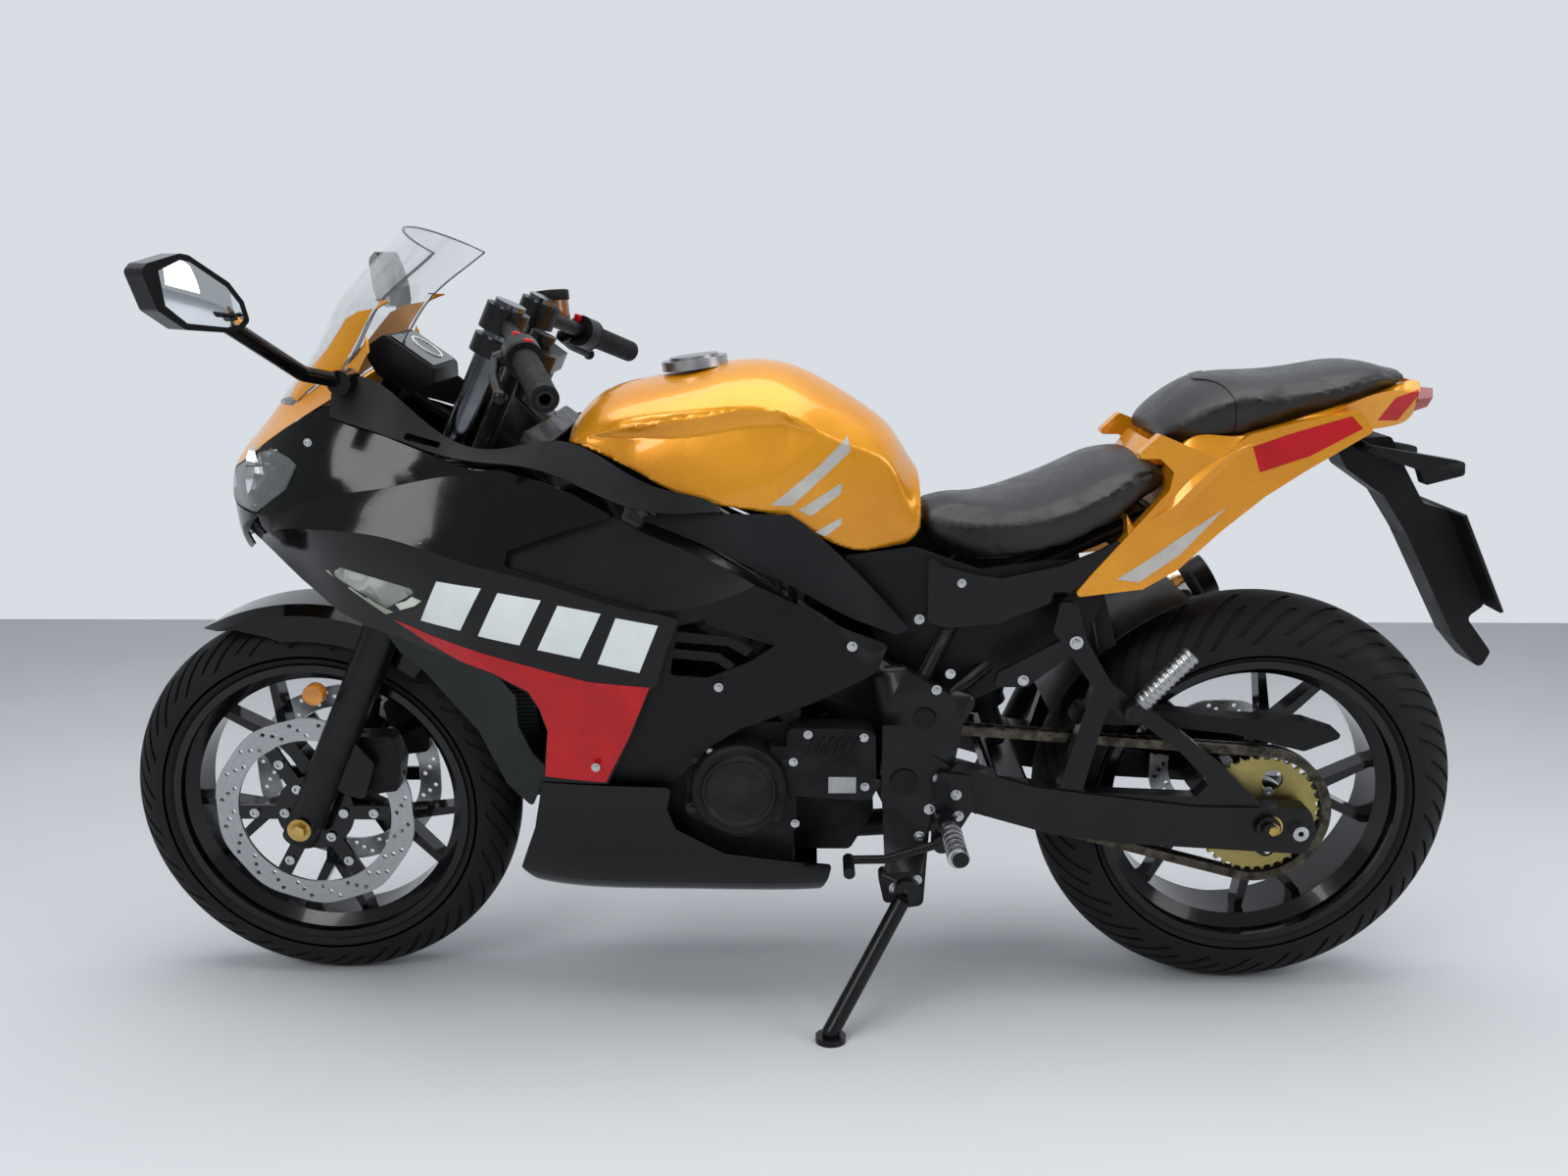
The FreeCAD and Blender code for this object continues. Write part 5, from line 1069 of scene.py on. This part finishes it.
def pressedTank():
    tank = nodeCopy("fuel_tank", upright=True)
    remesh(tank, tankPress["voxel"], 2)
    for vertex in tank.data.vertices:
        x, y, z = vertex.co * 1000
        high, low = lineHeight(tankPress["crease"], x), lineHeight(tankPress["low"], x)
        if high is None or abs(y) < 60:
            continue
        share = (high - z) / (high - low)
        deep = tankPress["depth"] * min(1.0, (high - low) / 70)
        if 0 < share < 1:
            rise = min(1.0, share / tankPress["edge"])
            move = deep * rise * (1 - share) ** 1.3
        elif -0.35 < share <= 0:
            move = -tankPress["lip"] * (1 + share / 0.35) * min(1.0, (high - low) / 70)
        else:
            continue
        vertex.co.y -= math.copysign(move / 1000, y)
    finishPiece(tank, "pressedTank", amberPaint, smooth=60, replaces=("fuel_tank",))


pressedTank()
print("tank done")


seats = {
    "riderSeat": {"node": "rider_seat", "voxel": 5.0, "cap": 5.0, "pressure": 2.0, "taut": 36},
    "pillionSeat": {"node": "pillion_seat", "voxel": 5.0, "cap": 4.5, "pressure": 2.0, "taut": 28},
}


def paddedSeat(name, values):
    pad = nodeCopy(values["node"])
    remesh(pad, values["voxel"], 3)
    still = [vertex.co.copy() for vertex in pad.data.vertices]
    cloth = addModifier(pad, "CLOTH")
    cloth.settings.use_pressure = True
    cloth.settings.uniform_pressure_force = values["pressure"]
    cloth.settings.effector_weights.gravity = 0
    bpy.context.scene.frame_start = 1
    for step in range(1, 21):
        bpy.context.scene.frame_set(step)
    activate(pad)
    bpy.ops.object.modifier_apply(modifier=cloth.name)
    bpy.context.scene.frame_set(1)
    for vertex, start in zip(pad.data.vertices, still):
        move = vertex.co - start
        if move.length > values["cap"] / 1000:
            vertex.co = start + move.normalized() * values["cap"] / 1000
    addModifier(pad, "SUBSURF", levels=1, render_levels=1)
    addModifier(pad, "SMOOTH", factor=0.5, iterations=values["taut"])
    applyAll(pad)
    finishPiece(pad, name, seatVinyl, smooth=60, leaned=False, replaces=(values["node"],))


for name in ("riderSeat", "pillionSeat"):
    paddedSeat(name, seats[name])

strap = {"x": 583.0, "sweep": 0.3, "width": 17.0, "middle": 884.0, "reach": 100, "proud": 1.2, "wall": 1.6}


def seatStrap():  # the grab strap lies round the pillion seat and slants back down its sides
    pad = bpy.data.objects["pillionSeat"]
    deselect()
    bpy.ops.mesh.primitive_grid_add(x_subdivisions=4, y_subdivisions=60, size=2)
    band = bpy.context.object
    for vertex in band.data.vertices:
        angle = math.radians(vertex.co.y * strap["reach"])
        way = Vector((0, math.sin(angle), math.cos(angle)))
        x = strap["x"] + vertex.co.x * strap["width"] / 2
        x += strap["sweep"] * abs(math.degrees(angle)) * abs(math.sin(angle))
        start = toRow @ mm(x, 0, strap["middle"])
        along = (toRow.to_3x3() @ way).normalized()
        hit, spot, normal, index = pad.ray_cast(start, along)
        vertex.co = (spot if hit else start + along * 0.03) + along * strap["proud"] / 1000
    outwardNormals(band)
    addModifier(band, "SOLIDIFY", thickness=strap["wall"] / 1000, offset=0)
    applyAll(band)
    finishPiece(band, "seatStrap", seatVinyl, smooth=50, leaned=False)


seatStrap()
print("seats done")


stage = {"floor": "#d4d6da", "floorDark": "#cacdd1", "wall": "#d9dde4", "air": "#dfe5ea", "airLevel": 0.5, "size": 24.0,
         "floorAt": (0, 1.0, 0), "wallAt": (0, 4.5, 3.0)}
lights = {  # place, aim, size in metres, and watts
    "overhead": ((0.0, -0.3, 3.6), (0, 0, 0.4), (4.5, 2.6), 105),
    "cameraSide": ((-1.8, -3.2, 2.4), (0, 0, 0.6), (1.8, 1.2), 48),
    "rearSide": ((3.0, -1.2, 1.8), (0.4, 0, 0.6), (1.6, 1.8), 25),
}
view = {"at": (0.0435, -1.9218, 0.7929), "down": 5.71, "yaw": 1.17, "pixels": 1275.9, "wide": 1600, "film": 36}


def floorMaterial():
    mat, shader, place = startMaterial("paleFloor", 0.0)
    haze = ramp(mat, noise(mat, place, 1.5, 3.0), 0.0, 0.25)
    setInputs(mat, shader, {"Base Color": tones(mat, haze, stage["floorDark"], stage["floor"]), "Roughness": 0.6,
                            "Specular IOR Level": 0.3})
    return mat


def wallMaterial():  # the camera, mirrors and glass see an even pale wall; nothing is lit by it
    mat, shader, place = startMaterial("paleWall", 0.0)
    setInputs(mat, shader, {"Base Color": toLinear(stage["wall"])})
    rays = addNode(mat, "LightPath").outputs
    seen = maths(mat, "MAXIMUM", rays["Is Camera Ray"], rays["Is Glossy Ray"])
    either = maths(mat, "MAXIMUM", seen, rays["Is Transmission Ray"])
    glow = addNode(mat, "Emission", inputs={"Color": toLinear(stage["wall"]), "Strength": 1.0})
    mixed = addNode(mat, "MixShader", inputs={0: either, 1: shader.outputs[0], 2: glow.outputs[0]})
    setInputs(mat, mat.node_tree.nodes["Material Output"], {"Surface": mixed.outputs[0]})
    return mat


def plane(name, at, turn, material):
    deselect()
    bpy.ops.mesh.primitive_plane_add(size=stage["size"], location=at, rotation=turn)
    sheet = bpy.context.object
    sheet.name = name
    sheet.data.materials.append(material)
    return sheet


def buildStage():
    floor = plane("floor", stage["floorAt"], (0, 0, 0), floorMaterial())
    plane("backdrop", stage["wallAt"], (math.radians(90), 0, 0), wallMaterial())


def areaLight(name, at, aim, size, power):
    deselect()
    bpy.ops.object.light_add(type="AREA", location=at)
    lamp = bpy.context.object
    lamp.name = name
    lamp.data.shape = "RECTANGLE"
    lamp.data.size, lamp.data.size_y = size
    lamp.data.energy = power
    lamp.rotation_euler = (Vector(aim) - Vector(at)).to_track_quat("-Z", "Y").to_euler()


def buildLights():
    for name, values in lights.items():
        areaLight(name, *values)
    world = bpy.data.worlds.new("paleRoom")
    bpy.context.scene.world = world
    world.use_nodes = True
    lit = world.node_tree.nodes["Background"]
    setInputs(world, lit, {"Color": toLinear(stage["air"]), "Strength": stage["airLevel"]})
    shown = addNode(world, "Background", inputs={"Color": toLinear(stage["wall"]), "Strength": 1.0})
    rays = addNode(world, "LightPath").outputs["Is Camera Ray"]
    seen = addNode(world, "MixShader", inputs={0: rays, 1: lit.outputs[0], 2: shown.outputs[0]})
    setInputs(world, world.node_tree.nodes["World Output"], {"Surface": seen.outputs[0]})


def buildCamera():
    deselect()
    turn = (math.radians(90 - view["down"]), 0, math.radians(view["yaw"]))
    bpy.ops.object.camera_add(location=Vector(view["at"]) + rowShift, rotation=turn)
    camera = bpy.context.object
    camera.data.sensor_width = view["film"]
    camera.data.lens = view["pixels"] / view["wide"] * view["film"]
    bpy.context.scene.camera = camera


buildStage()
buildLights()
buildCamera()
bpy.context.scene.view_settings.view_transform = "Standard"
print("stage done")
